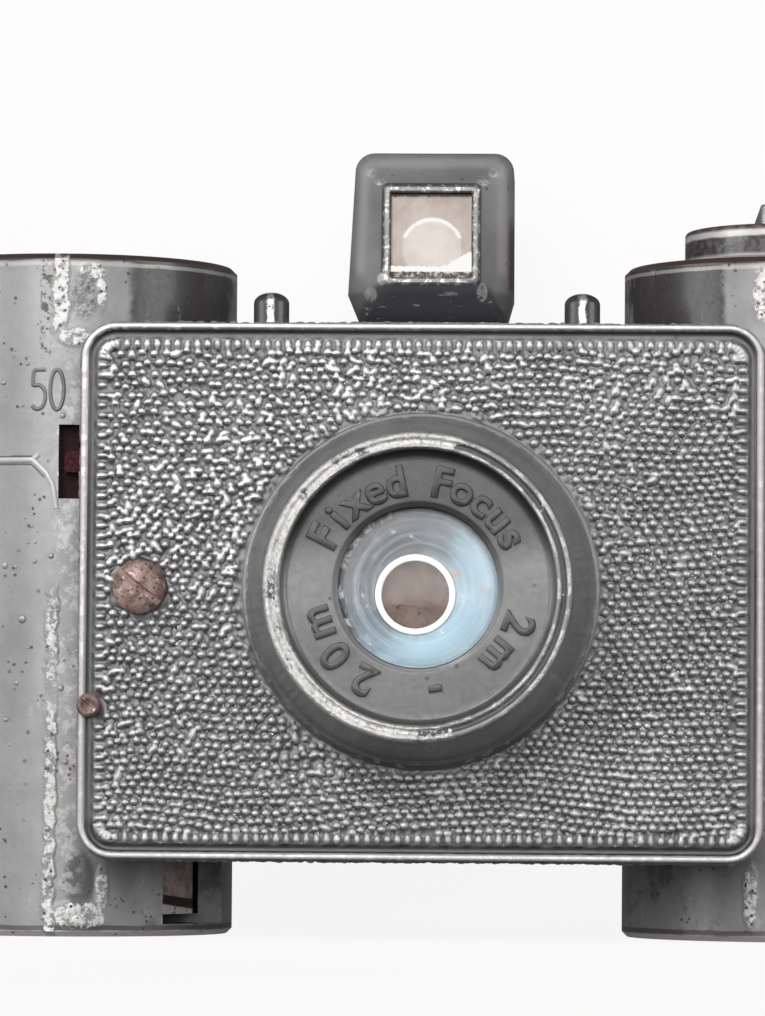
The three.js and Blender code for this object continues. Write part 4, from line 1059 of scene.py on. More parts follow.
def matched_circle(loop, r, y):
    """Points on a circle round the eyepiece, each in the direction of the loop's own point."""
    out = []
    for x, _, z in loop:
        a = math.atan2(z - EYE_Z, x)
        out.append((r * math.cos(a), y, EYE_Z + r * math.sin(a)))
    return out


def finder_shell():
    front, rear = FINDER_LOW.y, FINDER_HIGH.y
    z0, z1 = WINDOW_Z
    frame_loop = boxed(WINDOW_HALF + FINDER_FRAME, z0 - FINDER_FRAME, z1 + FINDER_FRAME, 0.25, front)
    window = boxed(WINDOW_HALF, z0, z1, 0.12, front)
    hood = hood_loop(0.0, front)
    slope = [(0.0, front + 0.05), (0.03, front + 0.12), (0.8, HOOD_Y - 0.35), (1.0, HOOD_Y + 0.9)]
    slope = eased(slope, 0.9, 5)
    rings = [between(window, frame_loop, 0.3), between(window, frame_loop, 0.85)]
    rings += [at_depth(between(frame_loop, hood, share), y) for share, y in slope]
    rings += [hood_loop(0, rear - 0.5), hood_loop(0.12, rear - 0.15), hood_loop(0.4, rear)]
    back_face = rings[-1]
    rings += [matched_circle(back_face, EYE_R + 0.25, rear), matched_circle(back_face, EYE_R, rear - 0.2)]
    rings += [matched_circle(window, EYE_R, rear - 2.1), at_depth(window, rear - 2.1)]
    rings.append(at_depth(window, front + 0.15))
    return loft(rings, loop=True)


def finder_neck():
    half = HOOD_LEFT["neck"] + 0.1
    y0, y1 = HOOD_Y, FINDER_HIGH.y
    outline = [(-half, y0), (half, y0), (half, y1), (-half, y1)]
    outline = eased(outline, 0.4, 4, closed=True)
    z_low = HOOD_Z["low"]
    levels = [(0.0, FINDER_LOW.z), (0.0, z_low - 0.2), (-0.15, z_low + 0.1), (-0.15, WINDOW_Z[0] - 1.2)]
    middle = (y0 + y1) / 2
    rings = [[(x * (1 + grow / half), middle + (y - middle) * (1 + grow / half), z) for x, y in outline]
             for grow, z in levels]
    return loft(rings)


def combined(name, operation, main, other):
    """One mesh from two closed parts: a UNION of them, or the DIFFERENCE of the first and the second."""
    holders = []
    for points, faces in (main, other):
        mesh = bpy.data.meshes.new(name)
        mesh.from_pydata([Vector(p) for p in points], [], faces)
        shape = bmesh.new()
        shape.from_mesh(mesh)
        bmesh.ops.recalc_face_normals(shape, faces=shape.faces)
        shape.to_mesh(mesh)
        shape.free()
        holder = bpy.data.objects.new(name, mesh)
        bpy.context.scene.collection.objects.link(holder)
        holders.append(holder)
    step = holders[0].modifiers.new("step", "BOOLEAN")
    step.operation = operation
    step.solver = "EXACT"
    step.object = holders[1]
    bpy.context.view_layer.update()
    result = bpy.data.meshes.new_from_object(holders[0].evaluated_get(bpy.context.evaluated_depsgraph_get()))
    out = [tuple(v.co) for v in result.vertices], [tuple(p.vertices) for p in result.polygons]
    for holder in holders:
        bpy.data.objects.remove(holder)
    return out


def finder_wear(f):
    """Bare metal: ragged along the window frame, in spots on the mitres, and in scratches underneath."""
    _, y, z = f.axes()
    fine = f.noise(2.0, 5, rough=0.75)
    rim = f.both(f.ramp(y, FINDER_LOW.y + 0.25, FINDER_LOW.y + 0.1), f.ramp(fine, 0.5, 0.62, 0, 0.75))
    spots = []
    for side in (-1, 1):
        inner = (side * (WINDOW_HALF + 0.7), FINDER_LOW.y + 0.6, WINDOW_Z[1] + 0.75)
        outer = (side * (WINDOW_HALF + 1.4), FINDER_LOW.y + 1.4, WINDOW_Z[1] + 1.5)
        spots += [f.near(inner, (0.5, 1.2, 0.28), 0.4), f.near(outer, (0.45, 1.4, 0.4), 0.5)]
    spots.append(f.near((-WINDOW_HALF - 0.5, FINDER_LOW.y + 0.4, WINDOW_Z[0] - 0.1), (0.5, 1, 0.5), 0.4))
    spots.append(f.near((WINDOW_HALF + 0.7, FINDER_LOW.y + 1, WINDOW_Z[0] - 0.95), (0.45, 1.5, 0.75), 0.4))
    spots.append(f.near((-4.2, HOOD_Y - 1, 44.5), (0.55, 1.5, 0.6), 0.5))
    scratch = f.ramp(f.noise(1.6, 3, stretch=(0.35, 1, 1.6), shift=(8, 1, 0), rough=0.6), 0.64, 0.68)
    under = f.both(scratch, f.ramp(z, WINDOW_Z[0] - 0.6, WINDOW_Z[0] - 1.1))
    return f.either(rim, f.both(f.either(*spots), f.ramp(fine, 0.4, 0.48)), f.math("MULTIPLY", under, 0.45))


def finder_shade(f, base):
    """Bevels that pale outwards from the frame, painted shade that makes the underside near black and darkens
    the lower chamfers and the neck, and a red-brown edge.
    """
    x, y, z = f.axes()
    slope = f.ramp(y, FINDER_LOW.y + 0.2, HOOD_Y)
    base = f.dim(f.opposite(slope), base, 0.72)
    frame_edge = f.band(y, FINDER_LOW.y + 0.08, FINDER_LOW.y + 0.3, 0.05)
    base = f.dim(frame_edge, base, 0.3)
    bloom = f.both(f.band(y, HOOD_Y - 1.0, HOOD_Y - 0.2, 0.3), f.ramp(z, 45.6, 46.4))
    base = f.mix(f.math("MULTIPLY", bloom, 0.35), base, (0.5, 0.46, 0.47))
    # Painted shade: the downward-facing bevel under the window is near black.
    below = f.both(f.ramp(z, WINDOW_Z[0] - 0.35, WINDOW_Z[0] - 0.75), f.ramp(y, HOOD_Y + 2.5, HOOD_Y + 1.5))
    within = f.ramp(f.plus(f.math("ABSOLUTE", x), f.math("SUBTRACT", z, WINDOW_Z[0]), 0.62), 4.0, 3.3)
    base = f.mix(f.both(below, within), base, (0.1, 0.096, 0.11))
    # Painted shade on the lower chamfers and the neck under the hood.
    base = f.dim(f.ramp(z, 44.9, 44.4), base, 0.7)
    edge = f.both(f.ramp(x, 5.2, 5.55), f.ramp(z, 51, 48.5), f.ramp(z, 44.4, 45.2))
    return f.mix(f.math("MULTIPLY", edge, 0.8), base, (0.07, 0.025, 0.02))


def finder_enamel():
    return enamel("finder_enamel", 0.8, edge=0.12, wear=0.3, extra=finder_wear, shade=finder_shade)


def make_finder():
    points, faces = combined("finder", "UNION", finder_shell(), finder_neck())
    add_piece("finder_hood", points, faces, finder_enamel(), "camera_body", ["finder_housing"], sharp=38)
    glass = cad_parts["finder_front_lens"]
    glass.data.materials.clear()
    glass.data.materials.append(finder_glass())
    make_eyepiece()


GLARE = {"arc_z": 47.6, "arc_r": 2.12, "strip_z": 46.08}


def finder_glass():
    """Yellowed, hazy glass: a paler disc of painted light where the eyepiece shows through, a bright arc over
    it and a jagged line of light along the foot, both painted highlights that glow, and darker patches: a
    smudge at the upper left, a band along the top and a band along the foot."""
    f = Finish("finder_glass")
    x, _, z = f.axes()
    cloud = f.ramp(f.noise(0.5, 4, rough=0.6), 0.3, 0.7)
    jag = f.noise(3.0, 4, stretch=(1, 0, 0.15), rough=0.75)
    radius = f.radius(x, z, (0.05, GLARE["arc_z"]))
    haze = f.mix(cloud, (0.5, 0.42, 0.385), (0.62, 0.54, 0.5))
    # A paler disc: painted light where the eyepiece shows through.
    disc = f.ramp(radius, GLARE["arc_r"], GLARE["arc_r"] - 0.15)
    haze = f.mix(f.math("MULTIPLY", disc, 0.5), haze, (0.78, 0.73, 0.7))
    # Darker patches: a smudge at the upper left, a band along the top and a band along the foot.
    smudge = f.near((-2.3, 1, 51.2), (1.3, 3, 1.5), 0.8)
    top = f.ramp(f.plus(z, jag, 0.5), 51.45, 51.65)
    dark_patches = f.either(f.both(smudge, f.ramp(f.noise(1.2, 4, rough=0.7), 0.42, 0.56)), top)
    strip_z = GLARE["strip_z"]
    below = f.ramp(f.plus(z, jag, 0.2), strip_z + 0.12, strip_z + 0.04)
    dark_patches = f.either(dark_patches, f.both(below, f.ramp(f.noise(2.2, 4, shift=(3, 0, 1), rough=0.7), 0.42, 0.52)))
    haze = f.mix(dark_patches, haze, (0.1, 0.08, 0.07))
    through = f.node("BsdfTransparent")
    fog = f.node("BsdfDiffuse", {"Color": haze})
    cover = f.either(f.blend(cloud, 0.72, 0.8), dark_patches)
    hazy = f.node("MixShader", {0: cover, 1: through.outputs[0], 2: fog.outputs[0]})
    # The strip along the foot and the arc are painted highlights that glow.
    climb = f.math("MULTIPLY", f.ramp(x, 0.6, WINDOW_HALF), 1.0)
    crest = f.plus(f.plus(strip_z + 0.05, jag, 0.5), climb)
    strip = f.both(f.ramp(f.math("SUBTRACT", z, crest), 0.08, 0.0), f.opposite(below))
    arc = f.band(radius, GLARE["arc_r"] - 0.12, GLARE["arc_r"] + 0.1, 0.05)
    arc = f.both(arc, f.ramp(z, GLARE["arc_z"] + 0.7, GLARE["arc_z"] + 1.0), f.ramp(jag, 0.3, 0.45))
    glare = f.node("Emission", {"Color": (1, 0.985, 0.96), "Strength": 0.97})
    lit = f.node("MixShader", {0: f.either(strip, arc), 1: hazy.outputs[0], 2: glare.outputs[0]})
    f.feed(f.out.inputs["Surface"], lit.outputs[0])
    return f.material


def make_eyepiece():
    """A small domed lens set in the rear wall, with a narrow rim."""
    y0, y1 = EYE_LOW.y, EYE_HIGH.y
    r = EYE_HIGH.x
    profile = [(r * k / 8, y0 - 0.25 * (1 - (k / 8) ** 2)) for k in range(1, 8)]
    profile += [(r - 0.12, y0 - 0.1), (r, y0), (r, y1), (0.3, y1)]
    points, faces = loft(turned_y(profile, 64, (0, EYE_Z)))
    glass = clear_glass("eyepiece_glass", haze=0.5, haze_colour=(0.95, 0.9, 0.87)).material
    add_piece("eyepiece_lens", points, faces, glass, "camera_body", ["finder_eyepiece"])


# Studs, knob, screw and rivet ---------------------------------------------------------------------

STUD_X = (corners("latch_pin_right")[0].x + corners("latch_pin_right")[1].x) / 2


def stud_wear_and_highlight(f):
    """A rubbed streak down the front of each stud, which also stands for the stud's vertical highlight:
    partly worn paint, partly painted highlight.
    """
    x, _, _ = f.axes()
    off = f.math("SUBTRACT", f.math("ABSOLUTE", x), STUD_X)
    wander = f.plus(off, f.noise(1.6, 3, shift=(6, 6, 0)), 0.6)
    chips = f.ramp(f.noise(2.4, 5, rough=0.75), 0.38, 0.5)
    return f.both(f.band(wander, 0.1, 0.55, 0.1), chips)


def make_studs():
    material = enamel("stud_enamel", 0.14, edge=0.1, wear=0.2, extra=stud_wear_and_highlight)
    for side in ("left", "right"):
        node = "latch_pin_" + side
        low, high = corners(node)
        x, y = (low.x + high.x) / 2, (low.y + high.y) / 2
        r, top, dome = 1.2, high.z, 0.75
        neck, collar, shoulder = 0.6, 1.6, low.z + 2.95
        angles = [math.pi / 2 * k / 8 for k in range(8)]
        cap = [(r * math.cos(a), top - dome + dome * math.sin(a)) for a in angles]
        profile = [(neck, low.z), (neck, shoulder), (collar, shoulder), (collar, shoulder + 1)]
        profile.append((r, shoulder + 1))
        points, faces = loft(turned_z(profile + cap + [(0.05, top)], x, y, 40))
        add_piece("stud_" + side, points, faces, material, "latch_" + side, [node])


KNOB_DISC = 2.35


def knob_shade(f, base):
    """A dark reddish top edge, a pale band under it, a pitted dark band and a pale line at the foot."""
    _, _, z = f.axes()
    z = f.plus(z, f.noise(0.6, 3, shift=(3, 3, 0)), 0.2)
    top = KNOB_LOW.z + KNOB_DISC
    pits = f.ramp(f.noise(1.5, 5, rough=0.75), 0.42, 0.56)
    dark = f.both(f.band(z, KNOB_LOW.z + 0.5, top - 0.75, 0.08), f.plus(1.0, pits, -0.35))
    base = f.mix(dark, base, (0.03, 0.027, 0.026))
    pale = f.either(f.band(z, top - 0.7, top - 0.32, 0.08), f.ramp(z, KNOB_LOW.z + 0.42, KNOB_LOW.z + 0.34))
    base = f.mix(f.math("MULTIPLY", pale, 0.7), base, (0.62, 0.58, 0.57))
    rim = f.both(f.band(z, top - 0.24, top + 0.12, 0.06), f.ramp(pits, 0.2, 0.9, 0.6, 1))
    return f.mix(rim, base, (0.07, 0.04, 0.04))


def make_knob():
    low, high = KNOB_LOW, KNOB_HIGH
    x, y = (low.x + high.x) / 2, (low.y + high.y) / 2
    r = (high.x - low.x) / 2
    disc_top = low.z + KNOB_DISC
    profile = eased([(1.9, low.z + 1.6), (1.9, low.z), (r - 0.2, low.z), (r, low.z + 0.2),
                     (r, disc_top - 0.28), (r - 0.1, disc_top - 0.08), (r - 0.35, disc_top),
                     (0.2, disc_top)], 0.1, 3)
    disc = loft(turned_z([(0.2, low.z + 1.6)] + profile, x, y, 128))
    half, length, top = 2.3, r - 0.9, high.z
    base = disc_top - 0.3
    section = eased([(-half, base), (half, base), (half, top), (-half, top)], 0.22, 5, closed=True)
    shrink = [(0.0, 0.93), (0.12, 0.98), (0.3, 1.0)]
    ends = [(-length + d, s) for d, s in shrink] + [(length - d, s) for d, s in reversed(shrink)]
    bar = loft([[(x + px * s, y + along, base + (pz - base) * s) for px, pz in section] for along, s in ends])
    points, faces = combined("knob", "UNION", disc, bar)
    finish = enamel("knob_enamel", 0.6, edge=0.2, wear=0.5, shade=knob_shade)
    add_piece("knob", points, faces, finish, "winder", ["wind_knob"], sharp=38)


def rust(name, tone=1.0):
    """Brown, pitted steel with bright scuffs and a pinkish bloom."""
    f = Finish(name)
    cloud = f.noise(1.1, 5, rough=0.7)
    dark = tuple(c * tone for c in (0.12, 0.07, 0.06))
    pale = tuple(c * tone for c in (0.32, 0.22, 0.19))
    base = f.mix(f.ramp(cloud, 0.35, 0.6), dark, pale)
    bright = f.ramp(f.noise(1.7, 5, shift=(3, 8, 5), rough=0.7), 0.56, 0.66)
    pits = f.ramp(f.cells(2.4), 0.12, 0.24, 1, 0)
    base = f.mix(f.math("MULTIPLY", pits, 0.7), f.mix(bright, base, (0.62, 0.53, 0.49)), (0.05, 0.025, 0.02))
    f.set(Base_Color=base, Metallic=f.blend(bright, 0.35, 0.9), Roughness=f.blend(bright, 0.6, 0.35))
    f.bump(cloud, 0.08)
    f.bump(pits, 0.06)
    return f.material


def make_screw():
    x, z = SCREW_AT
    base, r = SCREW_LOW.y + 1.2, SCREW_R
    top = SCREW_LOW.y
    head = [(r, base), (r, base - 0.55), (r - 0.1, base - 0.75), (r * 0.75, top + 0.2),
            (r * 0.4, top + 0.04), (0.05, top)]
    points, faces = loft(turned_y([(0.8, SCREW_HIGH.y), (0.8, base)] + eased(head, 0.25, 3), 72, SCREW_AT))
    heading = Matrix.Rotation(0.66, 3, "Y")
    blade = []
    for along, out, across in itertools.product((-2 * r, 2 * r), (top - 0.5, top + 0.5), (-0.22, 0.22)):
        v = heading @ Vector((along, 0, across))
        blade.append((x + v.x, out, z + v.z))
    box = [(0, 1, 3, 2), (4, 6, 7, 5), (0, 4, 5, 1), (2, 3, 7, 6), (0, 2, 6, 4), (1, 5, 7, 3)]
    points, faces = combined("screw", "DIFFERENCE", (points, faces), (blade, box))
    finish = rust("rusty_screw")
    add_piece("screw_head", points, faces, finish, "camera_body", ["cover_screw"], sharp=45)


def make_pin():
    x, z = PIN_AT
    r, base = PIN_R, PIN_LOW.y + 0.6
    profile = [(0.4, PIN_HIGH.y), (0.4, base), (r, base), (r, base - 0.3), (r * 0.85, PIN_LOW.y + 0.06),
               (r * 0.6, PIN_LOW.y), (r * 0.42, PIN_LOW.y + 0.12), (0.05, PIN_LOW.y + 0.22)]
    points, faces = loft(turned_y(eased(profile, 0.1, 2), 40, PIN_AT))
    add_piece("rivet", points, faces, rust("rusty_rivet", 0.9), "camera_body", ["anchor_pin"])


# Casting: wear, blisters, pointer and number ------------------------------------------------------

SLOT = {"x0": -24.72, "x1": -22.1, "z0": 29.35, "z1": 34.45, "y": -2.95}
STREAK_X = (-25.45, -24.65)
MARK = {"x": -26.55, "z": 35.4, "tall": 2.7, "wide": 0.92, "gap": 0.32}
POINTER_Z = 32.0


def drum_surface(x, side=-1):
    """The y of a drum's front at x."""
    across = min(abs(x - side * DRUM_X), DRUM_R - 0.01)
    return DRUM_Y - math.sqrt(DRUM_R ** 2 - across ** 2)


def rubbed_and_highlight_places(f, x, z):
    """Where the casting is rubbed bare: a broken streak down the left drum, which also stands for the drum's
    highlight and so is partly painted highlight, and wider patches at the drums' tops and feet, each round a
    dark pitted patch."""
    wander = f.plus(x, f.math("SUBTRACT", f.noise(0.7, 4, stretch=(0.3, 0, 1), rough=0.65), 0.5), 1.0)
    broken = f.either(f.ramp(f.noise(0.13, 2, shift=(0, 0, 42)), 0.4, 0.55), f.ramp(z, 9.5, 8))
    streak = f.both(f.band(wander, STREAK_X[0], STREAK_X[1], 0.15), f.ramp(z, 30, 28), broken)
    top = f.both(f.band(wander, -25.2, -24.1, 0.15), f.ramp(z, 40.2, 41))
    blobs = f.near((-23.7, -3.4, 40.4), (1.5, 5, 0.9), 0.5)
    shoulder = f.near((-22.5, -3.4, 44.8), (1.2, 5, 0.8), 0.5)
    shoulder = f.either(shoulder, f.near((-21.9, -3.4, 43.4), (0.5, 5, 1.6), 0.5))
    foot = f.near((-23.0, -3.4, 1.4), (2.6, 5, 1.2), 0.4)
    beside = f.near((-21.5, -3.4, 3.2), (0.6, 5, 2.0), 0.5)
    far = f.either(f.near((22.7, -3, 43.4), (1.1, 5, 2.6), 0.5), f.near((21.9, -3, 3.0), (0.7, 5, 2.8), 0.5))
    return f.either(streak, top, blobs, shoulder, foot, beside, far)


def dark_places(f, x, z, cloud):
    """Where the drums are darkest: towards the camera's middle, strongest at the top, where whole black paint
    carries a painted dark reflection, and in a few dark patches and specks.
    """
    inner = f.plus(f.math("ABSOLUTE", x), cloud, -1.6)
    height = f.either(f.ramp(z, 36, 40), f.math("MULTIPLY", f.ramp(cloud, 0.5, 0.62), 0.5))
    whole = f.both(f.ramp(inner, 19.6, 18.9), f.ramp(inner, 12.6, 13.2), height)
    rubble = f.ramp(f.noise(2.3, 5, shift=(9, 1, 1), rough=0.75), 0.4, 0.56)
    rocky = f.both(f.near((-23.1, -3.4, 43.0), (1.3, 5, 1.9), 0.5), rubble)
    smooth_patch = f.near((-23.0, -3.4, 3.8), (1.3, 5, 2.4), 0.4)
    specks = f.ramp(f.noise(1.9, 4, rough=0.7), 0.48, 0.56)
    speckled = f.both(f.band(x, -26.0, -25.3, 0.15), f.ramp(z, 38.5, 39.5), specks)
    return f.either(whole, f.math("MULTIPLY", f.either(rocky, smooth_patch), 0.75), speckled)


def rim_lines(f, base, z, side_on):
    """A red-brown line round the drums' tops with a band of painted highlight under it, and round their feet
    a dark band of painted shade over a pale line of painted highlight.
    """
    wander = f.plus(z, f.noise(0.5, 3, shift=(5, 5, 0)), 0.16)
    top_line = f.both(f.ramp(wander, DRUM_TOP - 0.42, DRUM_TOP - 0.34), side_on)
    base = f.mix(top_line, base, (0.06, 0.036, 0.036))
    # Painted highlight just under the top edge.
    base = f.mix(f.both(f.band(wander, DRUM_TOP - 0.75, DRUM_TOP - 0.5), 0.45), base, (0.5, 0.48, 0.47))
    # Painted shade and, below it, painted highlight along the drums' feet.
    base = f.mix(f.both(f.band(wander, 0.5, 0.82), 0.8), base, (0.06, 0.045, 0.05))
    return f.mix(f.ramp(wander, 0.46, 0.4), base, (0.62, 0.58, 0.57))


def body_enamel():
    """The casting's paint: worn grey over most of the drums, with the places above, painted reflection,
    highlight and shade among them.
    """
    f, base = enamel_base("body_enamel", 0.76)
    x, y, z = f.axes()
    cloud = f.noise(0.4, 4, shift=(0, 0, 3), rough=0.6)
    _, _, up = f.facing()
    side_on = f.ramp(f.math("ABSOLUTE", up), 0.9, 0.8)
    front = f.ramp(y, DRUM_Y + 0.5, DRUM_Y - 0.5)
    # Whole black paint with a painted dark reflection on the drums' inner flanks.
    dark = f.both(dark_places(f, x, z, cloud), side_on, front)
    base = f.mix(f.math("MULTIPLY", dark, 0.94), base, (0.022, 0.019, 0.022))
    scuffs = f.ramp(f.noise(0.9, 4, stretch=(1, 1, 0.5), shift=(1, 4, 0), rough=0.7), 0.6, 0.72)
    base = f.mix(f.math("MULTIPLY", scuffs, 0.25), base, (0.5, 0.51, 0.5))
    # Painted highlight and shade along the drums' top and bottom edges.
    base = rim_lines(f, base, z, side_on)
    chips = f.noise(1.7, 6, rough=0.78)
    # The rubbed places include the left drum's streak, which is partly a painted highlight.
    rubbed_and_highlight = f.both(rubbed_and_highlight_places(f, x, z), side_on, front)
    bare = f.both(f.ramp(f.plus(chips, rubbed_and_highlight, 0.2), 0.64, 0.72), f.either(rubbed_and_highlight, 0.15))
    blotches = f.ramp(f.noise(1.3, 5, shift=(6, 6, 6), rough=0.7), 0.48, 0.62)
    mottle = f.both(f.near((-23.8, -3.3, 20), (1.7, 5, 26), 0.5), blotches)
    base = f.mix(f.math("MULTIPLY", mottle, 0.6), base, (0.5, 0.49, 0.48))
    pits = f.ramp(f.plus(f.cells(1.9, shift=(2, 2, 2)), chips, 0.3), 0.3, 0.38, 1, 0)
    pits = f.both(pits, f.ramp(f.plus(f.noise(0.5, 3, shift=(3, 3, 3)), rubbed_and_highlight, 0.16), 0.54, 0.64))
    base = f.mix(f.math("MULTIPLY", pits, 0.8), base, (0.05, 0.042, 0.042))
    bare = f.both(bare, f.opposite(pits))
    below_rim = f.ramp(z, DRUM_TOP - 0.5, DRUM_TOP - 0.9)
    bare = f.either(bare, f.both(f.edges(0.2), f.ramp(chips, 0.52, 0.6), below_rim))
    # Painted shade deep in the lever's slot: dark red-brown and matt.
    slot_shade = f.both(f.ramp(y, SLOT["y"] - 0.1, SLOT["y"]), f.band(x, SLOT["x0"], SLOT["x1"]),
                    f.band(z, SLOT["z0"], SLOT["z1"]))
    f.bump(pits, -0.1)
    f.bump(f.both(chips, rubbed_and_highlight), 0.16)
    base = f.mix(slot_shade, base, (0.028, 0.01, 0.011))
    return painted(f, base, f.both(bare, f.opposite(slot_shade)), matt=slot_shade)


def drum_ribbon(path, half, rise, closed=False):
    """A raised line that lies on the left drum along (x, z) points."""
    rings = []
    count = len(path)
    for i, (x, z) in enumerate(path):
        x0, z0 = path[i - 1] if closed else path[max(i - 1, 0)]
        x1, z1 = path[(i + 1) % count] if closed else path[min(i + 1, count - 1)]
        length = math.hypot(x1 - x0, z1 - z0) or 1
        px, pz = -(z1 - z0) / length, (x1 - x0) / length
        ring = []
        for across, lift in ((-1, -0.15), (-0.9, 0.6), (-0.45, 1), (0.45, 1), (0.9, 0.6), (1, -0.15)):
            rx, rz = x + px * half * across, z + pz * half * across
            ring.append((rx, drum_surface(rx) - rise * lift, rz))
        rings.append(ring)
    return loft(rings, loop=closed)


def fine_path(points, step=0.12):
    """The same line with points no further apart than the step."""
    out = [points[0]]
    for a, b in zip(points, points[1:]):
        count = max(1, math.ceil(math.dist(a, b) / step))
        for k in range(1, count + 1):
            out.append((a[0] + (b[0] - a[0]) * k / count, a[1] + (b[1] - a[1]) * k / count))
    return out


def fifty():
    """The figures of a generic shutter number, as two lines of (x, z) points."""
    x, z, tall, wide = MARK["x"], MARK["z"], MARK["tall"], MARK["wide"]
    five = [(wide, tall), (0.08, tall), (0.03, 0.58 * tall), (0.5 * wide, 0.64 * tall),
            (0.95 * wide, 0.5 * tall), (wide, 0.25 * tall), (0.75 * wide, 0.04 * tall), (0.3 * wide, 0),
            (0, 0.1 * tall)]
    five = [(x + u, z + v) for u, v in eased(five, 0.3, 4)]
    middle = x + wide * 1.5 + MARK["gap"]
    angles = [TURN * k / 28 for k in range(28)]
    zero = [(middle + wide / 2 * math.sin(a), z + tall / 2 * (1 - math.cos(a))) for a in angles]
    return five, zero


def make_marks():
    """The pointer line with its fork beside the slot, dark lines of painted shade along it, and a number
    above it.
    """
    tip, slot_x, left = -26.5, SLOT["x0"], -DRUM_X - DRUM_R * 0.72
    stem = [(left, POINTER_Z), (tip, POINTER_Z)]
    low_arm = [(tip, POINTER_Z), (tip + 0.95, POINTER_Z - 0.9), (slot_x - 0.35, SLOT["z0"] + 0.9),
               (slot_x - 0.1, SLOT["z0"] - 0.6)]
    high_arm = [(tip, POINTER_Z), (tip + 0.45, POINTER_Z + 0.4)]
    ridges = [drum_ribbon(fine_path(stem, 0.4), 0.2, 0.1), drum_ribbon(fine_path(low_arm), 0.2, 0.1),
              drum_ribbon(fine_path(high_arm), 0.18, 0.09)]
    points, faces = joined(*ridges)
    add_piece("pointer_ridge", points, faces, enamel("mark_enamel", 1.15, edge=0.1, wear=0.3), "camera_body")
    five, zero = fifty()
    dark = []
    # Painted shade: a thin dark line along each foot of the ridge, and a painted shadow under the fork's
    # lower arm.
    for off in (-0.27, 0.27):
        line = [(left, POINTER_Z + off), (tip, POINTER_Z + off)]
        dark.append(drum_ribbon(fine_path(line, 0.4), 0.075, 0.03))
    shadow = [(tip, POINTER_Z - 0.27), (tip + 0.85, POINTER_Z - 1.15)]
    dark += [drum_ribbon(fine_path(shadow), 0.08, 0.03), drum_ribbon(fine_path(five), 0.14, 0.09)]
    dark.append(drum_ribbon(zero, 0.14, 0.09, closed=True))
    points, faces = joined(*dark)
    finish = enamel("dark_mark_and_shade_enamel", 0.34, edge=0.08, wear=0.3)
    add_piece("casting_marks_and_shade", points, faces, finish, "camera_body")


def make_blisters():
    """Small blisters of paint on the drums' fronts."""
    rng = random.Random(3)
    parts = []
    for index in range(46):
        side = -1 if index < 34 else 1
        x = side * DRUM_X - side * rng.uniform(-5.5, 3.4) * (1 if side < 0 else 0.9)
        z = rng.uniform(1.5, DRUM_TOP - 1.5)
        r = rng.choice((0.12, 0.16, 0.22, 0.3))
        inside_slot = SLOT["x0"] - 0.5 < x < SLOT["x1"] and SLOT["z0"] - 0.5 < z < SLOT["z1"] + 0.5
        under_cover = abs(x) < COVER_HIGH.x + 0.3 and COVER_LOW.z - 0.5 < z < COVER_HIGH.z + 0.5
        on_mark = side < 0 and abs(x - MARK["x"] - 1) < 1.8 and MARK["z"] - 0.4 < z < MARK["z"] + 3.1
        if inside_slot or under_cover or on_mark:
            continue
        lump = rng.uniform(0.8, 1.25)
        rings = []
        for share, lift in ((1.0, -0.2), (0.92, 0.15), (0.7, 0.34), (0.36, 0.46)):
            ring = []
            for k in range(12):
                u = x + r * share * math.cos(TURN * k / 12)
                v = z + lump * r * share * math.sin(TURN * k / 12)
                ring.append((u, drum_surface(u, side) - r * lift, v))
            rings.append(ring)
        parts.append(loft(rings))
    points, faces = joined(*parts)
    finish = enamel("blister_enamel", 0.9, edge=0.1, wear=0.6)
    add_piece("paint_blisters", points, faces, finish, "camera_body")


# Carried-over CAD nodes --------------------------------------------------------------------------

def keep_node(name, material, angle=35):
    """A CAD node that stays: welded and smooth in the display, with its own finish."""
    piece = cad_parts[name]
    weld = piece.modifiers.new("weld", "WELD")
    weld.merge_threshold = 1e-6
    split = piece.modifiers.new("split", "EDGE_SPLIT")
    split.split_angle = math.radians(angle)
    piece.data.shade_smooth()
    piece.data.materials.clear()
    piece.data.materials.append(material)


def metal(name, colour, rough=0.35, worn=0.0, stain=(0.2, 0.1, 0.07)):
    f = Finish(name)
    cloud = f.noise(1.3, 5, rough=0.65)
    spots = f.ramp(cloud, 0.62 - 0.25 * worn, 0.72 - 0.15 * worn)
    f.set(Base_Color=f.mix(f.both(spots, worn > 0 and 1.0 or 0.25), colour, stain))
    f.set(Metallic=f.blend(f.both(spots, min(1.0, worn * 1.3)), 1.0, 0.25))
    f.set(Roughness=f.ramp(f.noise(5, 3), 0.3, 0.7, rough * 0.8, rough * 1.3))
    f.bump(cloud, 0.02)
    return f.material


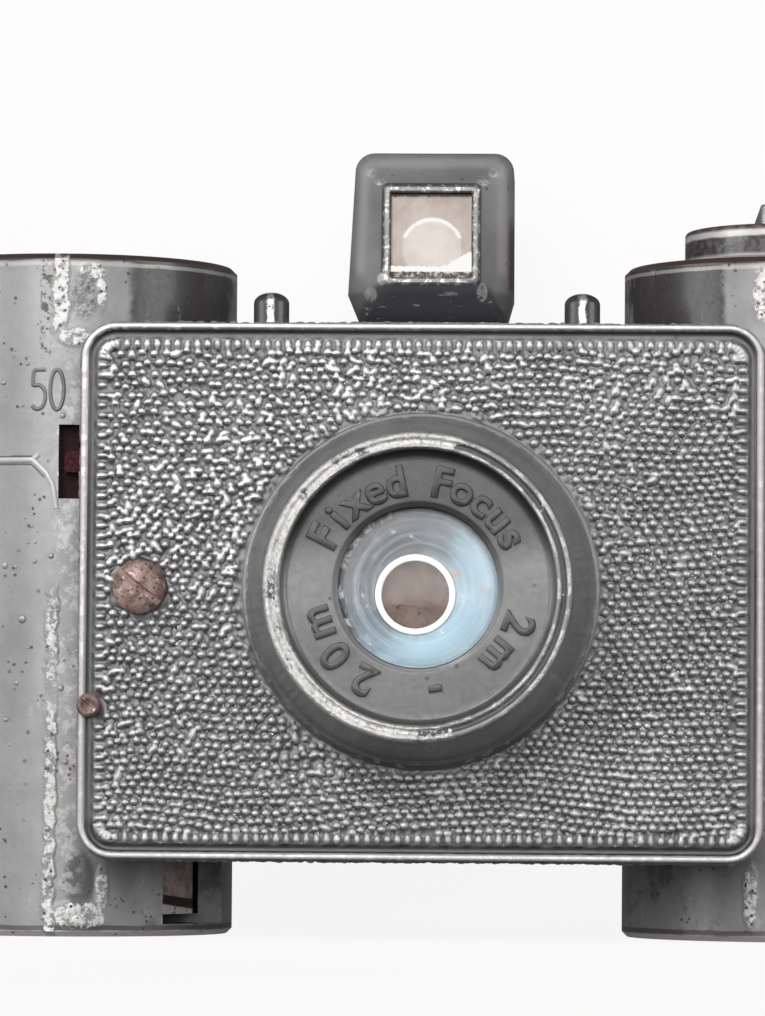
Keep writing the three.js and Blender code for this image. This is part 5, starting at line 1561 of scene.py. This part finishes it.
def brake_finish():
    """The brake leaf: a pinkish worn plate above a dark slot of painted shade, with a pale ledge of painted
    highlight below.
    """
    f = Finish("brake_finish")
    x, _, z = f.axes()
    slope = f.plus(z, f.math("ADD", x, DRUM_X - 8), 0.2)
    cloud = f.noise(1.1, 5, rough=0.7)
    base = f.mix(f.ramp(cloud, 0.35, 0.65), (0.3, 0.235, 0.225), (0.6, 0.5, 0.49))
    base = f.mix(f.near((-16.6, -5, 4.6), (0.4, 3, 0.35), 0.5), base, (0.85, 0.55, 0.45))
    # Painted shade in the slot under the plate, and a painted highlight on the ledge below it.
    base = f.mix(f.band(slope, 1.95, 2.6, 0.06), base, (0.035, 0.016, 0.016))
    base = f.mix(f.both(f.ramp(slope, 1.95, 1.85), f.ramp(cloud, 0.4, 0.5)), base, (0.8, 0.74, 0.73))
    f.set(Base_Color=base, Metallic=0.3, Roughness=0.5)
    f.bump(cloud, 0.1)
    return f.material


def ruby_glass():
    """The film counter's deep red window, darker in its clouds."""
    f = Finish("ruby_glass")
    cloud = f.ramp(f.noise(0.8, 4), 0.3, 0.7)
    f.set(Base_Color=f.mix(cloud, (0.13, 0.004, 0.006), (0.3, 0.012, 0.016)))
    f.set(Roughness=f.blend(cloud, 0.08, 0.16))
    f.set(Coat_Weight=0.8, Coat_Roughness=0.06)
    return f.material


def make_latch_springs(material):
    """Springs under the pegs, each copied onto a mesh of its own; on the camera they shorten as the pegs go
    down.
    """
    for side in ("left", "right"):
        name = "latch_spring_" + side
        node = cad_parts[name]
        points = [tuple(node.matrix_world @ v.co / MM) for v in node.data.vertices]
        faces = [tuple(p.vertices) for p in node.data.polygons]
        coil = add_piece("coil_" + side, points, faces, material, "camera_body", [name])
        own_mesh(coil)


def finish_carried_nodes():
    body = body_enamel()
    cover = enamel("back_enamel", 0.95, edge=0.3, wear=0.45)
    steel = metal("steel_finish", (0.6, 0.59, 0.57))
    rusty = brake_finish()
    brass = metal("brass_finish", (0.75, 0.58, 0.3), 0.3, 0.1)
    dark = metal("dark_finish", (0.14, 0.12, 0.115), 0.5)
    brown = metal("brown_finish", (0.05, 0.018, 0.02), 0.6)
    tan = tan_metal()
    ruby = ruby_glass()
    dark_nodes = ("take_up_spool", "supply_spool", "take_up_coil", "film_roll", "film_strip")
    brass_nodes = ("shaft_bush", "ratchet_wheel")
    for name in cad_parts:
        material = steel
        if name == "body_casting":
            material = body
        elif name == "back_cover":
            material = cover
        elif name in dark_nodes:
            material = dark
        elif name == "shutter_blade":
            material = tan
        elif name == "ruby_window":
            material = ruby
        elif name in brass_nodes:
            material = brass
        elif name == "brake_spring":
            material = rusty
        elif name == "shutter_lever":
            material = brown
        keep_node(name, material)
    make_latch_springs(steel)


make_stage()
make_lights()
make_camera()
finish_carried_nodes()
make_cover()
make_lens()
make_lettering()
make_finder()
make_studs()
make_knob()
make_screw()
make_pin()
make_marks()
make_blisters()
